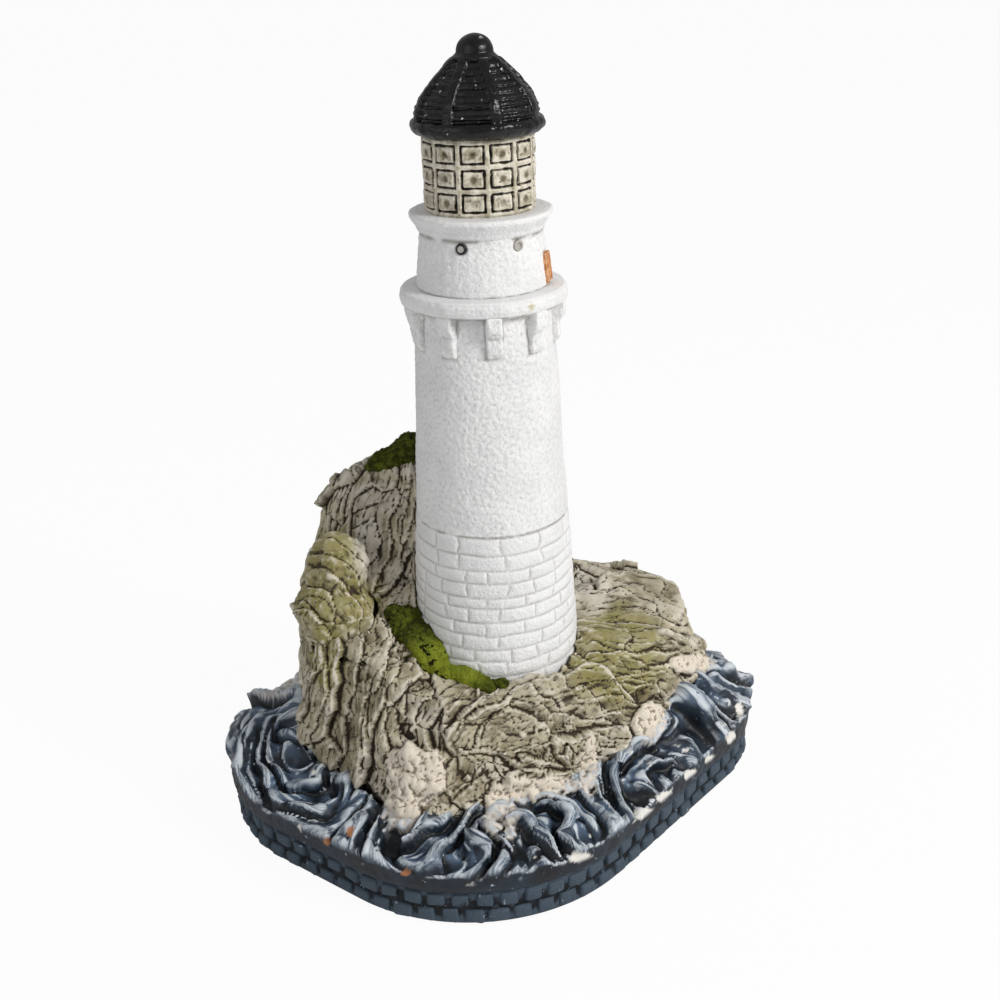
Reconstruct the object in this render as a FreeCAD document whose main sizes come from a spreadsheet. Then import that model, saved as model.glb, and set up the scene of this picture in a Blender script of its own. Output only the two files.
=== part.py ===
import FreeCAD, Part
import Sketcher
import math
import os

from FreeCAD import Placement, Rotation, Vector

# Garden lighthouse ornament: painted castings stacked with spigots on a rock in the sea.
# Millimetres, +Z up, the front looks along -Y. The origin is the middle of the underside.
# An azimuth is in degrees round the tower, 0 at the front and 90 at the right.

SIZES = (
    # plan of the base, a belt round four circles
    ("base_length", 205.5), ("base_width", 162.9),
    ("front_round", 69.0), ("front_shift", -8.0),
    ("right_round", 46.0), ("right_rise", 26.6),
    ("back_round", 75.0), ("back_shift", -5.0),
    ("left_round", 58.0), ("left_rise", 2.0),
    # felt, cobbled plinth and sea
    ("felt_thickness", 1.2), ("felt_inset", 1.4),
    ("plinth_height", 12.8), ("plinth_inset", 2.2),
    ("cobble_pitch", 9.2), ("cobble_width", 6.9), ("cobble_height", 5.2),
    ("cobble_proud", 1.5), ("cobble_bevel", 1.3), ("cobble_root", 0.6),
    ("lip_height", 8.8), ("lip_round", 1.6),
    ("pocket_floor", 3.0), ("wave_height", 6.5),
    # place of the tower on the base
    ("tower_x", 1.75), ("tower_y", 3.45),
    # rock
    ("tenon_inset", 3.0), ("tenon_step", 6.0), ("ledge_wobble", 2.2), ("ridge_azimuth", -70.0),
    ("cliff_seat", 51.5), ("turf_thickness", 1.8),
    ("foot_turf_azimuth", -46.0), ("foot_turf_shift", 22.0), ("foot_turf_reach", 18.0),
    ("cliff_turf_azimuth", -138.0), ("cliff_turf_inset", 37.0),
    ("cliff_turf_reach", 24.0), ("cliff_turf_rise", 42.0),
    # tower
    ("foot_rise", 33.2), ("masonry_height", 63.0), ("masonry_radius", 31.0),
    ("masonry_top_radius", 27.4), ("joint_width", 0.7), ("joint_depth", 0.5),
    ("shaft_height", 77.0), ("shaft_radius", 27.1), ("shaft_top_radius", 23.4),
    ("deck_height", 5.5), ("deck_radius", 28.3), ("deck_round", 1.5),
    ("corbel_width", 5.2), ("corbel_drop", 14.0), ("corbel_step", 6.6),
    ("corbel_reach", 4.3), ("corbel_foot_reach", 2.4), ("corbel_azimuth", 7.0),
    ("watch_height", 19.0), ("watch_radius", 22.6), ("watch_top_radius", 20.5),
    ("porthole_radius", 1.9), ("porthole_bore", 1.15), ("porthole_proud", 0.35),
    ("porthole_depth", 1.2), ("porthole_rise", 15.8),
    ("porthole_left", -18.6), ("porthole_right", 34.2),
    ("door_azimuth", 78.0), ("door_width", 6.4), ("door_height", 11.2),
    ("door_depth", 1.0), ("door_proud", 0.5),
    ("cap_height", 6.0), ("cap_radius", 23.8),
    ("lantern_height", 24.0), ("lantern_core", 17.2), ("lantern_radius", 18.5),
    ("bar_width", 1.3), ("pane_proud", 0.8), ("pane_gap", 0.8), ("pane_azimuth", 9.0),
    # roof and finial
    ("eave_height", 4.9), ("eave_radius", 21.3), ("soffit_radius", 19.2),
    ("dome_radius", 20.6), ("dome_height", 8.9), ("shoulder_radius", 17.7),
    ("cone_height", 9.0), ("neck_radius", 7.4), ("course_proud", 0.55),
    ("rib_width", 2.4), ("rib_proud", 1.1), ("rib_azimuth", 18.0),
    ("collar_radius", 7.0), ("collar_height", 1.7), ("ball_radius", 4.9),
    # fit of the castings
    ("spigot_radius", 11.0), ("spigot_length", 7.0), ("pin_radius", 4.0), ("fit_gap", 0.25),
)

COBBLE_ROWS = 2
COURSES = 12
MASONRY_SIDES = 24
BLOCK_SIDES = 2
CORBELS = 10
LANTERN_SIDES = 12
PANE_ROWS = 3
ROOF_RIBS = 8
DOME_COURSES = 6
CONE_COURSES = 6
TOWER_SIDES = 32
ROOF_SIDES = 16
FINIAL_SIDES = 12
SPIGOT_SIDES = 8
DISC_SIDES = 12
FULL_TURN = 360.0

# The rock by azimuth: width of the sea in front of it, rise of the water and how it climbs
# (under 1 it is steep at the wall, over 1 at the rock), run of the rock face, rise of its
# brow, then how far the crest stands off the tower, its rise and the rise of the ground at
# the tower. Rises are above the rim of the sea.
ROCK = (
    (0, 28.0, 8.0, 1.2, 15.0, 39.0, 5.0, 41.0, 41.0),
    (30, 26.0, 9.0, 1.2, 9.0, 39.0, 4.0, 41.0, 42.0),
    (60, 15.5, 12.0, 1.0, 14.0, 38.0, 6.0, 44.0, 46.0),
    (90, 20.0, 20.0, 0.8, 12.0, 41.0, 8.0, 46.0, 46.0),
    (120, 14.0, 12.0, 1.0, 13.0, 46.0, 10.0, 49.0, 50.0),
    (150, 9.0, 7.0, 1.2, 18.0, 50.0, 10.0, 58.0, 57.0),
    (180, 11.5, 6.0, 1.2, 16.0, 82.0, 8.0, 96.0, 98.0),
    (210, 8.0, 6.0, 1.2, 20.0, 107.0, 8.0, 113.0, 113.0),
    (240, 12.0, 8.0, 1.0, 10.0, 95.0, 22.0, 105.0, 109.0),
    (270, 29.0, 19.0, 0.35, 4.0, 66.0, 28.0, 75.0, 60.0),
    (300, 24.0, 9.0, 1.0, 9.0, 57.0, 24.0, 60.0, 52.0),
    (330, 18.5, 8.0, 1.2, 20.0, 42.0, 6.0, 44.0, 44.0),
)
ROCK_SIDES = 48
LEDGES = 4
RIDGES = 16
LEDGE_OVERHANG = 0.2
LEDGE_DROP = 0.8
BOULDER_RINGS = 7
BOULDER_SIDES = 12
BOULDER_WOBBLE = 0.07
SEA_SIDES = 72
SEA_RINGS = 6
SEA_MARGIN = 0.1
WAVE_CRESTS = 22
WAVE_SWEEP = 2.9
WAVE_BENDS = 5

# Rounded boulders at the left: azimuth, distance in from the outer wall, rise above the
# rim, half width, half depth and half height.
BOULDERS = (
    (-84.0, 47.0, 76.0, 12.0, 12.5, 13.0),
    (-79.0, 44.0, 62.0, 15.0, 16.0, 13.0),
)

doc = FreeCAD.newDocument("lighthouse_ornament")
sheet = doc.addObject("Spreadsheet::Sheet", "sizes")
for row, (alias, number) in enumerate(SIZES, start=1):
    sheet.set("A%d" % row, alias)
    sheet.set("B%d" % row, str(number))
    sheet.setAlias("B%d" % row, alias)
doc.recompute()

# Heights of the seats, each built up from the pieces below it.
FELT_TOP = "sizes.felt_thickness"
PLINTH_TOP = FELT_TOP + " + sizes.plinth_height"
SEA_FLOOR = PLINTH_TOP + " + sizes.pocket_floor"
RIM = PLINTH_TOP + " + sizes.lip_height"
TOWER_SEAT = RIM + " + sizes.foot_rise"
SHAFT_SEAT = TOWER_SEAT + " + sizes.masonry_height"
DECK_SEAT = SHAFT_SEAT + " + sizes.shaft_height"
WATCH_SEAT = DECK_SEAT + " + sizes.deck_height"
CAP_SEAT = WATCH_SEAT + " + sizes.watch_height"
LANTERN_SEAT = CAP_SEAT + " + sizes.cap_height"
ROOF_SEAT = LANTERN_SEAT + " + sizes.lantern_height"
ROOF_TOP = "sizes.eave_height + sizes.dome_height + sizes.cone_height"
FINIAL_SEAT = ROOF_SEAT + " + " + ROOF_TOP
SOCKET = "sizes.spigot_radius + sizes.fit_gap"
SOCKET_DEPTH = "sizes.spigot_length + sizes.fit_gap"
SEA_CLEARANCE = 30.0
DOME_BULGE = 1.6
BALL_RINGS = 7
BALL_NECK = 80.0

pieces = []


def value(expression):
    """The number that an expression of the sheet's cells gives."""
    found = sheet.evalExpression(expression)
    return float(getattr(found, "Value", found))


def size(alias):
    return value("sizes." + alias)


def keep(obj, label):
    """Name a finished sub-part and put it on the list of those that are written."""
    obj.Label = label
    pieces.append(obj)
    return obj


# --- sketches and bodies -------------------------------------------------------------

def origin_feature(body, role):
    return next(item for item in body.Origin.OriginFeatures if item.Role == role)


def new_body(name, seat):
    """A body whose own zero height is its seat."""
    body = doc.addObject("PartDesign::Body", name)
    body.setExpression("Placement.Base.z", seat)
    return body


def plan_sketch(body, name):
    """A sketch on the level plane of a body."""
    sketch = body.newObject("Sketcher::SketchObject", name)
    sketch.AttachmentSupport = [(origin_feature(body, "XY_Plane"), "")]
    sketch.MapMode = "FlatFace"
    return sketch


def tie(sketch, constraints):
    """Add constraints, each with the expression that drives it."""
    indices = sketch.addConstraint([item for item, drive in constraints])
    for index, (item, drive) in zip(indices, constraints):
        if drive is not None:
            sketch.setExpression("Constraints[%d]" % index, drive)


def padded(body, sketch, length):
    pad = body.newObject("PartDesign::Pad", sketch.Name + "_pad")
    pad.Profile = sketch
    pad.setExpression("Length", length)
    doc.recompute()
    return pad


# --- many-sided castings -------------------------------------------------------------

def place(obj, seat):
    """Stand an object on the tower's axis at its seat."""
    obj.setExpression("Placement.Base.x", "sizes.tower_x")
    obj.setExpression("Placement.Base.y", "sizes.tower_y")
    obj.setExpression("Placement.Base.z", seat)
    return obj


def stacked(name, outline, sides):
    """A flat-sided solid through level rings, each a radius at a height."""
    rows = [level_points(value(radius), value(height), sides) for radius, height in outline]
    stack = doc.addObject("Part::Feature", name + "_stack")
    stack.Shape = faceted_solid(rows)
    return stack


def level_points(radius, height, sides):
    """The corners of a level regular polygon on the axis."""
    turns = [2 * math.pi * i / sides for i in range(sides)]
    return [Vector(radius * math.cos(turn), radius * math.sin(turn), height)
            for turn in turns]


def prism(name, radius, foot, height, sides=SPIGOT_SIDES):
    """An upright prism on the axis, such as a keyed spigot or its socket."""
    solid = doc.addObject("Part::Prism", name)
    solid.Polygon = sides
    solid.setExpression("Circumradius", radius)
    solid.setExpression("Height", height)
    solid.setExpression("Placement.Base.z", foot)
    return solid


def level_ring(radius, height, sides=TOWER_SIDES):
    """A level polygon on the axis, as a closed wire."""
    points = level_points(radius, height, sides)
    return Part.makePolygon(points + points[:1])


def joined(name, shapes):
    fuse = doc.addObject("Part::MultiFuse", name)
    fuse.Shapes = shapes
    return fuse


def less(name, base, tool):
    cut = doc.addObject("Part::Cut", name)
    cut.Base = base
    cut.Tool = tool
    return cut


def with_spigot(name, solid, reach):
    """Add a keyed spigot that reaches down through the piece below."""
    spigot = prism(name + "_spigot", "sizes.spigot_radius", "-(%s)" % reach,
                   "%s + sizes.fit_gap" % reach)
    return joined(name + "_cast", [solid, spigot])


def with_socket(name, solid, top):
    """Cut the socket that takes the spigot of the piece above."""
    socket = prism(name + "_socket", SOCKET, "%s - (%s)" % (top, SOCKET_DEPTH),
                   SOCKET_DEPTH + " + 1")
    return less(name + "_socketed", solid, socket)


def with_bore(name, solid, height):
    """Cut the bore that lets the spigot of the piece above through."""
    bore = prism(name + "_bore", SOCKET, "-1", height + " + 2")
    return less(name + "_bored", solid, bore)


# --- plan of the base ------------------------------------------------------------------

HALF_LENGTH = "sizes.base_length / 2"
HALF_WIDTH = "sizes.base_width / 2"

# Centre and radius of the circles that the outline goes round.
PLAN_CIRCLES = (
    ("sizes.front_shift", "sizes.front_round - " + HALF_WIDTH, "sizes.front_round"),
    (HALF_LENGTH + " - sizes.right_round", "sizes.right_rise", "sizes.right_round"),
    ("sizes.back_shift", HALF_WIDTH + " - sizes.back_round", "sizes.back_round"),
    ("sizes.left_round - " + HALF_LENGTH, "sizes.left_rise", "sizes.left_round"),
)


def belt_numbers(inset="0"):
    """For each circle its centre, radius and the angles where the belt joins and leaves."""
    discs = [(Vector(value(x), value(y), 0), value(r) - value(inset))
             for x, y, r in PLAN_CIRCLES]
    leaving = []
    for i, (centre, radius) in enumerate(discs):
        other, other_radius = discs[(i + 1) % len(discs)]
        gap = other - centre
        course = math.atan2(gap.y, gap.x)
        leaving.append(course - math.acos((radius - other_radius) / gap.Length))
    return [(centre, radius, leaving[i - 1],
             leaving[i - 1] + (leaving[i] - leaving[i - 1]) % (2 * math.pi))
            for i, (centre, radius) in enumerate(discs)]


def on_circle(centre, radius, angle):
    return centre + Vector(radius * math.cos(angle), radius * math.sin(angle), 0)


def draw_belt(sketch, inset="0"):
    """Arcs round the four circles with tangent lines between them."""
    belt = belt_numbers(inset)
    count = len(belt)
    arcs = []
    lines = []
    for i, (centre, radius, start, end) in enumerate(belt):
        circle = Part.Circle(centre, Vector(0, 0, 1), radius)
        arcs.append(Part.ArcOfCircle(circle, start, end))
        following, following_radius, joining, _ = belt[(i + 1) % count]
        lines.append(Part.LineSegment(on_circle(centre, radius, end),
                                      on_circle(following, following_radius, joining)))
    sketch.addGeometry(arcs + lines, False)
    ties = []
    for i, (x, y, r) in enumerate(PLAN_CIRCLES):
        ties.append((Sketcher.Constraint("Tangent", i, 2, count + i, 1), None))
        ties.append((Sketcher.Constraint("Tangent", count + i, 2, (i + 1) % count, 1), None))
        reach = "%s - (%s)" % (r, inset)
        ties.append((Sketcher.Constraint("Radius", i, value(reach)), reach))
        ties.append((Sketcher.Constraint("DistanceX", -1, 1, i, 3, value(x)), x))
        ties.append((Sketcher.Constraint("DistanceY", -1, 1, i, 3, value(y)), y))
    tie(sketch, ties)


def belt_walk(inset):
    """The belt as pieces of wall: length and a function from distance to point and normal."""
    walk = []
    belt = belt_numbers(inset)
    for i, (centre, radius, start, end) in enumerate(belt):
        walk.append((radius * (end - start), arc_walker(centre, radius, start)))
        following, following_radius, joining, _ = belt[(i + 1) % len(belt)]
        corner = on_circle(centre, radius, end)
        reach = on_circle(following, following_radius, joining) - corner
        walk.append((reach.Length, line_walker(corner, reach, end)))
    return walk


def arc_walker(centre, radius, start):
    return lambda along: (on_circle(centre, radius, start + along / radius),
                          start + along / radius)


def line_walker(corner, reach, normal):
    return lambda along: (corner + reach * (along / reach.Length), normal)


def along_belt(walk, distance):
    """Point on the wall and the angle of its normal, a distance round from the start."""
    for length, walker in walk:
        if distance <= length:
            return walker(distance)
        distance -= length
    return walk[-1][1](walk[-1][0])


def heading(azimuth):
    turn = math.radians(azimuth)
    return Vector(math.sin(turn), -math.cos(turn), 0)


def tower_axis():
    return Vector(size("tower_x"), size("tower_y"), 0)


def wall_distance(azimuth):
    """Distance from the tower's axis to the outer wall of the base."""
    ray = heading(azimuth)
    reaches = []
    belt = belt_numbers()
    for i, (centre, radius, _, end) in enumerate(belt):
        offset = tower_axis() - centre
        half = offset.dot(ray)
        under_root = half * half - offset.dot(offset) + radius * radius
        if under_root > 0:
            reaches.append(math.sqrt(under_root) - half)
        following, following_radius, joining, _ = belt[(i + 1) % len(belt)]
        corner = on_circle(centre, radius, end)
        side = on_circle(following, following_radius, joining) - corner
        start = corner - tower_axis()
        cross = ray.x * side.y - ray.y * side.x
        along = (start.x * ray.y - start.y * ray.x) / cross
        if 0 <= along <= 1:
            reaches.append((start.x * side.y - start.y * side.x) / cross)
    return max(reaches)


# --- faceted rock and water --------------------------------------------------------------

def triangle(first, second, third):
    return Part.Face(Part.makePolygon([first, second, third, first]))


def faceted_solid(rows):
    """A solid of flat facets from rings of points, closed by a fan at each end."""
    faces = []
    sides = len(rows[0])
    for lower, upper in zip(rows, rows[1:]):
        for i in range(sides):
            j = (i + 1) % sides
            faces.append(triangle(lower[i], lower[j], upper[j]))
            faces.append(triangle(lower[i], upper[j], upper[i]))
    for ring in (rows[0], rows[-1]):
        middle = sum(ring, Vector()) * (1.0 / sides)
        faces.extend(triangle(ring[i], ring[(i + 1) % sides], middle) for i in range(sides))
    shell = Part.makeShell(faces)
    shell.sewShape()
    solid = Part.makeSolid(shell)
    if solid.Volume < 0:
        solid.reverse()
    return solid


def rock_station(azimuth):
    """The row of ROCK at any azimuth, eased between its neighbours."""
    step = FULL_TURN / len(ROCK)
    place = (azimuth % FULL_TURN) / step
    before = ROCK[int(place) % len(ROCK)]
    after = ROCK[(int(place) + 1) % len(ROCK)]
    share = (1 - math.cos(math.pi * (place % 1))) / 2
    return [low + (high - low) * share for low, high in zip(before[1:], after[1:])]


def wobble(azimuth, row):
    """A repeatable unevenness between -1 and 1."""
    turn = math.radians(azimuth)
    return (math.sin(3 * turn + 1.7 * row) + math.sin(8 * turn - 2.3 * row)
            + math.sin(17 * turn + 4.1 * row)) / 3


def ridge(azimuth, row):
    """Upright ridges, strong at the left of the rock and faint elsewhere."""
    turn = math.radians(azimuth)
    strength = (1 - math.cos(turn - math.radians(size("ridge_azimuth")) + math.pi)) / 2
    return strength * math.cos(RIDGES * turn + row / 2)


def water_height(azimuth):
    return value(RIM) + rock_station(azimuth)[1]


def rock_foot(azimuth):
    return wall_distance(azimuth) - rock_station(azimuth)[0]


def rock_section(azimuth, grow=0.0):
    """Radius and height down one radial section, from inside the tower to the tenon."""
    run, brow_rise, stand_off, crest_rise, ground_rise = rock_station(azimuth)[3:]
    rim = value(RIM)
    foot = rock_foot(azimuth)
    water = water_height(azimuth)
    brow = foot - run
    brow_height = rim + brow_rise
    crest = min(size("masonry_radius") + stand_off, brow)
    uneven = size("ledge_wobble")
    section = [(size("spigot_radius"), rim + ground_rise),
               (crest, rim + crest_rise + uneven * wobble(azimuth, 1)),
               (brow + uneven * wobble(azimuth, 2), brow_height)]
    for ledge in range(LEDGES):
        tread = (foot - brow) / LEDGES
        riser = (brow_height - water) / LEDGES
        push = uneven * (wobble(azimuth, 3 + ledge) + ridge(azimuth, ledge))
        section.append((brow + tread * (ledge + LEDGE_OVERHANG) + push,
                        brow_height - riser * (ledge + LEDGE_DROP)))
        section.append((brow + tread * (ledge + 1) + push / 2,
                        brow_height - riser * (ledge + 1)))
    inset = size("tenon_inset")
    section.append((foot - inset, water - size("tenon_step")))
    section.append((foot - inset, value(SEA_FLOOR)))
    return [(radius + grow, height) for radius, height in section]


def rock_mass(grow=0.0):
    """The whole rock as one block, in the tower's frame."""
    azimuths = [FULL_TURN * i / ROCK_SIDES for i in range(ROCK_SIDES)]
    sections = [rock_section(azimuth, grow) for azimuth in azimuths]
    rows = [[heading(azimuth) * section[k][0] + Vector(0, 0, section[k][1])
             for azimuth, section in zip(azimuths, sections)]
            for k in range(len(sections[0]))]
    return faceted_solid(rows)


def tower_space(gap):
    """The room that the tower takes in the rock."""
    return Part.makeLoft([
        level_ring(size("masonry_radius") + gap, value(TOWER_SEAT)),
        level_ring(size("masonry_top_radius") + gap, value(SHAFT_SEAT)),
        level_ring(size("shaft_top_radius") + gap, value(DECK_SEAT))], True, True)


def boulder(azimuth, inset, rise, wide, deep, tall):
    """A rounded, slightly uneven boulder."""
    distance = wall_distance(azimuth) - inset
    centre = heading(azimuth) * distance + Vector(0, 0, value(RIM) + rise)
    rows = []
    for ring in range(1, BOULDER_RINGS):
        tilt = math.pi * ring / BOULDER_RINGS
        row = []
        for side in range(BOULDER_SIDES):
            turn = 2 * math.pi * side / BOULDER_SIDES
            uneven = 1 + BOULDER_WOBBLE * wobble(math.degrees(turn), ring + rise)
            row.append(centre + Vector(wide * math.sin(tilt) * math.cos(turn) * uneven,
                                       deep * math.sin(tilt) * math.sin(turn) * uneven,
                                       tall * math.cos(tilt)))
        rows.append(row)
    return faceted_solid(rows)


def wave_surface(azimuth, inwards):
    """Height of the water, from 0 at the wall to 1 at the rock."""
    depth = min(max(inwards, 0.0), 1.0)
    rise, curve = rock_station(azimuth)[1:3]
    level = value(RIM) + rise * depth ** curve
    turn = math.radians(azimuth)
    swirl = WAVE_CRESTS * turn / 2 + WAVE_SWEEP * inwards + math.sin(WAVE_BENDS * turn)
    curl = 0.5 - abs(math.sin(swirl))
    return level + size("wave_height") * curl * math.sin(math.pi * depth)


def air_above_sea():
    """Everything above the waves, in the tower's frame."""
    rows = []
    for ring in range(SEA_RINGS + 1):
        row = []
        for side in range(SEA_SIDES):
            azimuth = FULL_TURN * side / SEA_SIDES
            wall = wall_distance(azimuth) + size("tenon_inset")
            under_rock = rock_foot(azimuth) - 2 * size("tenon_inset")
            inwards = ring / SEA_RINGS
            radius = wall + (under_rock - wall) * inwards
            row.append(heading(azimuth) * radius
                       + Vector(0, 0, wave_surface(azimuth, inwards * (1 + 2 * SEA_MARGIN)
                                                    - SEA_MARGIN)))
        rows.append(row)
    ceiling = [Vector(point.x, point.y, value(RIM) + 2 * SEA_CLEARANCE) for point in rows[0]]
    return faceted_solid([ceiling] + rows)


def largest(shape):
    return max(shape.Solids, key=lambda solid: solid.Volume)


def made(label, shape, seat="0", on_tower=True):
    """A sub-part whose shape comes from the functions here, stood on its seat."""
    feature = doc.addObject("Part::Feature", label + "_shape")
    feature.Shape = shape
    if on_tower:
        stand = Placement(tower_axis() + Vector(0, 0, value(seat)), Rotation())
        feature.Placement = stand.multiply(shape.Placement)
    return keep(feature, label)


def on_tower(shape):
    """A copy of a shape, moved from the tower's frame to the base's."""
    moved = shape.copy()
    moved.translate(tower_axis())
    return moved


# --- sub-parts ---------------------------------------------------------------------------

def felt_pad():
    body = keep(new_body("felt_body", "0"), "felt_pad")
    sketch = plan_sketch(body, "felt_outline")
    draw_belt(sketch, "sizes.plinth_inset + sizes.felt_inset")
    padded(body, sketch, "sizes.felt_thickness")


def cobble(walk, distance, height):
    """One moulded cobble, rooted in the plinth's wall."""
    point, normal = along_belt(walk, distance)
    half = size("cobble_width") / 2
    tall = size("cobble_height") / 2
    root = size("cobble_root")
    proud = size("cobble_proud")
    bevel = size("cobble_bevel")
    block = Part.makeWedge(-half, -root, -tall, bevel - tall, bevel - half,
                           half, proud, tall, tall - bevel, half - bevel)
    block.Placement = Placement(point + Vector(0, 0, height),
                                Rotation(Vector(0, 0, 1), math.degrees(normal) - 90))
    return block


def plinth():
    """The lower casting, with two staggered rows of cobbles round its wall."""
    core = new_body("plinth_core", FELT_TOP)
    sketch = plan_sketch(core, "plinth_outline")
    draw_belt(sketch, "sizes.plinth_inset")
    padded(core, sketch, "sizes.plinth_height")
    walk = belt_walk("sizes.plinth_inset")
    around = sum(length for length, _ in walk)
    count = round(around / size("cobble_pitch"))
    row_height = size("plinth_height") / COBBLE_ROWS
    stones = []
    for row in range(COBBLE_ROWS):
        for i in range(count):
            distance = around * (i + row / 2) / count
            stones.append(cobble(walk, distance, value(FELT_TOP) + row_height * (row + 0.5)))
    made("plinth", core.Shape.fuse(stones), on_tower=False)


def sea(pocket):
    """The sea casting: a lipped slab under the waves, with a pocket for the rock."""
    block = new_body("sea_block", PLINTH_TOP)
    sketch = plan_sketch(block, "sea_outline")
    draw_belt(sketch)
    pad = padded(block, sketch, "sizes.lip_height + %s" % SEA_CLEARANCE)
    edges = ["Edge%d" % (i + 1) for i, edge in enumerate(block.Shape.Edges)
             if edge.BoundBox.ZMax < value(PLINTH_TOP) + 0.01]
    bevel = block.newObject("PartDesign::Chamfer", "sea_lip")
    bevel.Base = (pad, edges)
    bevel.setExpression("Size", "sizes.lip_round")
    doc.recompute()
    shape = block.Shape.cut([on_tower(air_above_sea()), on_tower(pocket)])
    made("sea", largest(shape), on_tower=False)


def rock():
    """Crag, cliff, boulders and the two patches of turf, all in the tower's frame."""
    room = tower_space(size("fit_gap"))
    stones = [boulder(*row) for row in BOULDERS]
    stones[1] = largest(stones[1].cut(stones[0]))
    whole = largest(rock_mass().cut([room] + stones))
    seat = value(RIM) + size("cliff_seat")
    span = 2 * size("base_length")
    above = Part.makeBox(span, span, span, Vector(-span / 2, -span / 2, seat))
    crag = largest(whole.cut(above))
    cliff = largest(whole.common(above))
    made("crag", crag)
    made("cliff", cliff)
    made("boulders", Part.makeCompound([stone.cut(room) for stone in stones]))
    return crag, cliff, room, stones


def turf(label, ground, region, others):
    """A layer of flock turf that follows the ground under it inside a region."""
    raised = ground.copy()
    raised.translate(Vector(0, 0, size("turf_thickness")))
    layer = raised.common(region).cut([ground] + others)
    made(label, largest(layer))


def turf_region(azimuth, shift, radius, seat, height):
    """An upright many-sided block that bounds a patch of turf."""
    ring = level_ring(radius, seat)
    ring.translate(heading(azimuth) * shift)
    return Part.Face(ring).extrude(Vector(0, 0, height))


def foot_turf(crag, cliff, room, stones):
    """Turf round the foot of the masonry, widest at the front left."""
    region = turf_region(size("foot_turf_azimuth"), size("foot_turf_shift"),
                         size("foot_turf_reach"), value(TOWER_SEAT), size("cliff_seat"))
    turf("foot_turf", crag, region, [cliff, room] + stones)


def cliff_turf(cliff, room, stones):
    """Turf on the shoulder of the cliff."""
    shift = wall_distance(size("cliff_turf_azimuth")) - size("cliff_turf_inset")
    region = turf_region(size("cliff_turf_azimuth"), shift, size("cliff_turf_reach"),
                         value(RIM) + size("cliff_seat") + size("cliff_turf_rise"),
                         size("cliff_seat"))
    turf("cliff_turf", cliff, region, [room] + stones)


def masonry_foot():
    """The lower tower, moulded in courses of slightly pillowed blocks in running bond."""
    course = size("masonry_height") / COURSES
    width = size("joint_width")
    depth = size("joint_depth")
    rows = [masonry_row(0, 0, 0)]
    for row in range(COURSES):
        for height in (course * row + width, course * (row + 1) - width):
            rows.append(masonry_row(height, row, depth))
        if row < COURSES - 1:
            rows.append(masonry_row(course * (row + 1), row, 0, depth))
    rows.append(masonry_row(size("masonry_height"), 0, 0))
    socket_depth = value(SOCKET_DEPTH)
    socket = Part.Face(level_ring(value(SOCKET), size("masonry_height") - socket_depth,
                                  SPIGOT_SIDES)).extrude(Vector(0, 0, socket_depth + 1))
    made("masonry_foot", faceted_solid(rows).cut(socket), seat=TOWER_SEAT)


def masonry_row(height, row, joint_depth, groove_depth=0.0):
    """One ring of points up the masonry, drawn in at the joints of its course."""
    share = height / size("masonry_height")
    face = size("masonry_radius") + share * (size("masonry_top_radius")
                                             - size("masonry_radius"))
    ring = []
    for i in range(MASONRY_SIDES):
        turn = 2 * math.pi * i / MASONRY_SIDES
        radius = face - groove_depth
        if (i + row) % BLOCK_SIDES == 0:
            radius -= joint_depth
        ring.append(Vector(radius * math.cos(turn), radius * math.sin(turn), height))
    return ring


def tower_shaft():
    top = "sizes.shaft_height"
    shaft = stacked("shaft", [("sizes.shaft_radius", "0"), ("sizes.shaft_top_radius", top)],
                    TOWER_SIDES)
    cast = with_spigot("shaft", shaft, "sizes.spigot_length")
    keep(place(with_socket("shaft", cast, top), SHAFT_SEAT), "tower_shaft")


def gallery_deck():
    """The lower gallery, a ring with a rounded nose."""
    top = "sizes.deck_height"
    edge = "sizes.deck_radius"
    soft = "sizes.deck_round"
    ring = stacked("deck", [("%s - %s * 0.6" % (edge, soft), "0"), (edge, soft),
                            (edge, "%s - %s * 0.8" % (top, soft)),
                            ("%s - %s * 0.8" % (edge, soft), top)], TOWER_SIDES)
    keep(place(with_bore("deck", ring, top), DECK_SEAT), "gallery_deck")


def corbels():
    """Ten two-step brackets between the shaft and the gallery."""
    shaft = doc.getObject("shaft_stack").Shape
    top = size("shaft_height")
    wall = size("shaft_top_radius")
    half = size("corbel_width") / 2
    inner = wall - 2 * half
    outer = wall + size("corbel_reach")
    foot = wall + size("corbel_foot_reach")
    drop = size("corbel_drop")
    step = size("corbel_step")
    nose = (outer - foot) / 2
    side = [(inner, 0), (outer, 0), (outer, -step + nose), (outer - nose, -step),
            (foot, -step), (foot, nose - drop), (foot - nose, -drop), (inner, -drop)]
    points = [Vector(-half, -radius, top + height) for radius, height in side]
    bracket = Part.Face(Part.makePolygon(points + points[:1])).extrude(Vector(2 * half, 0, 0))
    copies = []
    for i in range(CORBELS):
        copy = bracket.copy()
        copy.rotate(Vector(), Vector(0, 0, 1),
                    size("corbel_azimuth") + FULL_TURN * i / CORBELS)
        copies.append(largest(copy.cut(shaft)))
    made("corbels", Part.makeCompound(copies), seat=SHAFT_SEAT)


def facing(azimuth, out, height):
    """A place whose own Z axis looks out from the tower at an azimuth."""
    turn = Rotation(Vector(0, 0, 1), azimuth) * Rotation(Vector(1, 0, 0), 90)
    return Placement(heading(azimuth) * out + Vector(0, 0, height), turn)


WATCH_TAPER = "(sizes.watch_radius - sizes.watch_top_radius) / sizes.watch_height"
PORTHOLE_FLOOR = ("sizes.watch_radius - %s * sizes.porthole_rise - sizes.porthole_depth"
                  % WATCH_TAPER)
DOOR_FLOOR = "sizes.watch_radius - %s * sizes.door_height - sizes.door_depth" % WATCH_TAPER
DOOR_THICKNESS = ("sizes.door_depth + %s * sizes.door_height + sizes.door_proud"
                  % WATCH_TAPER)


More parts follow.
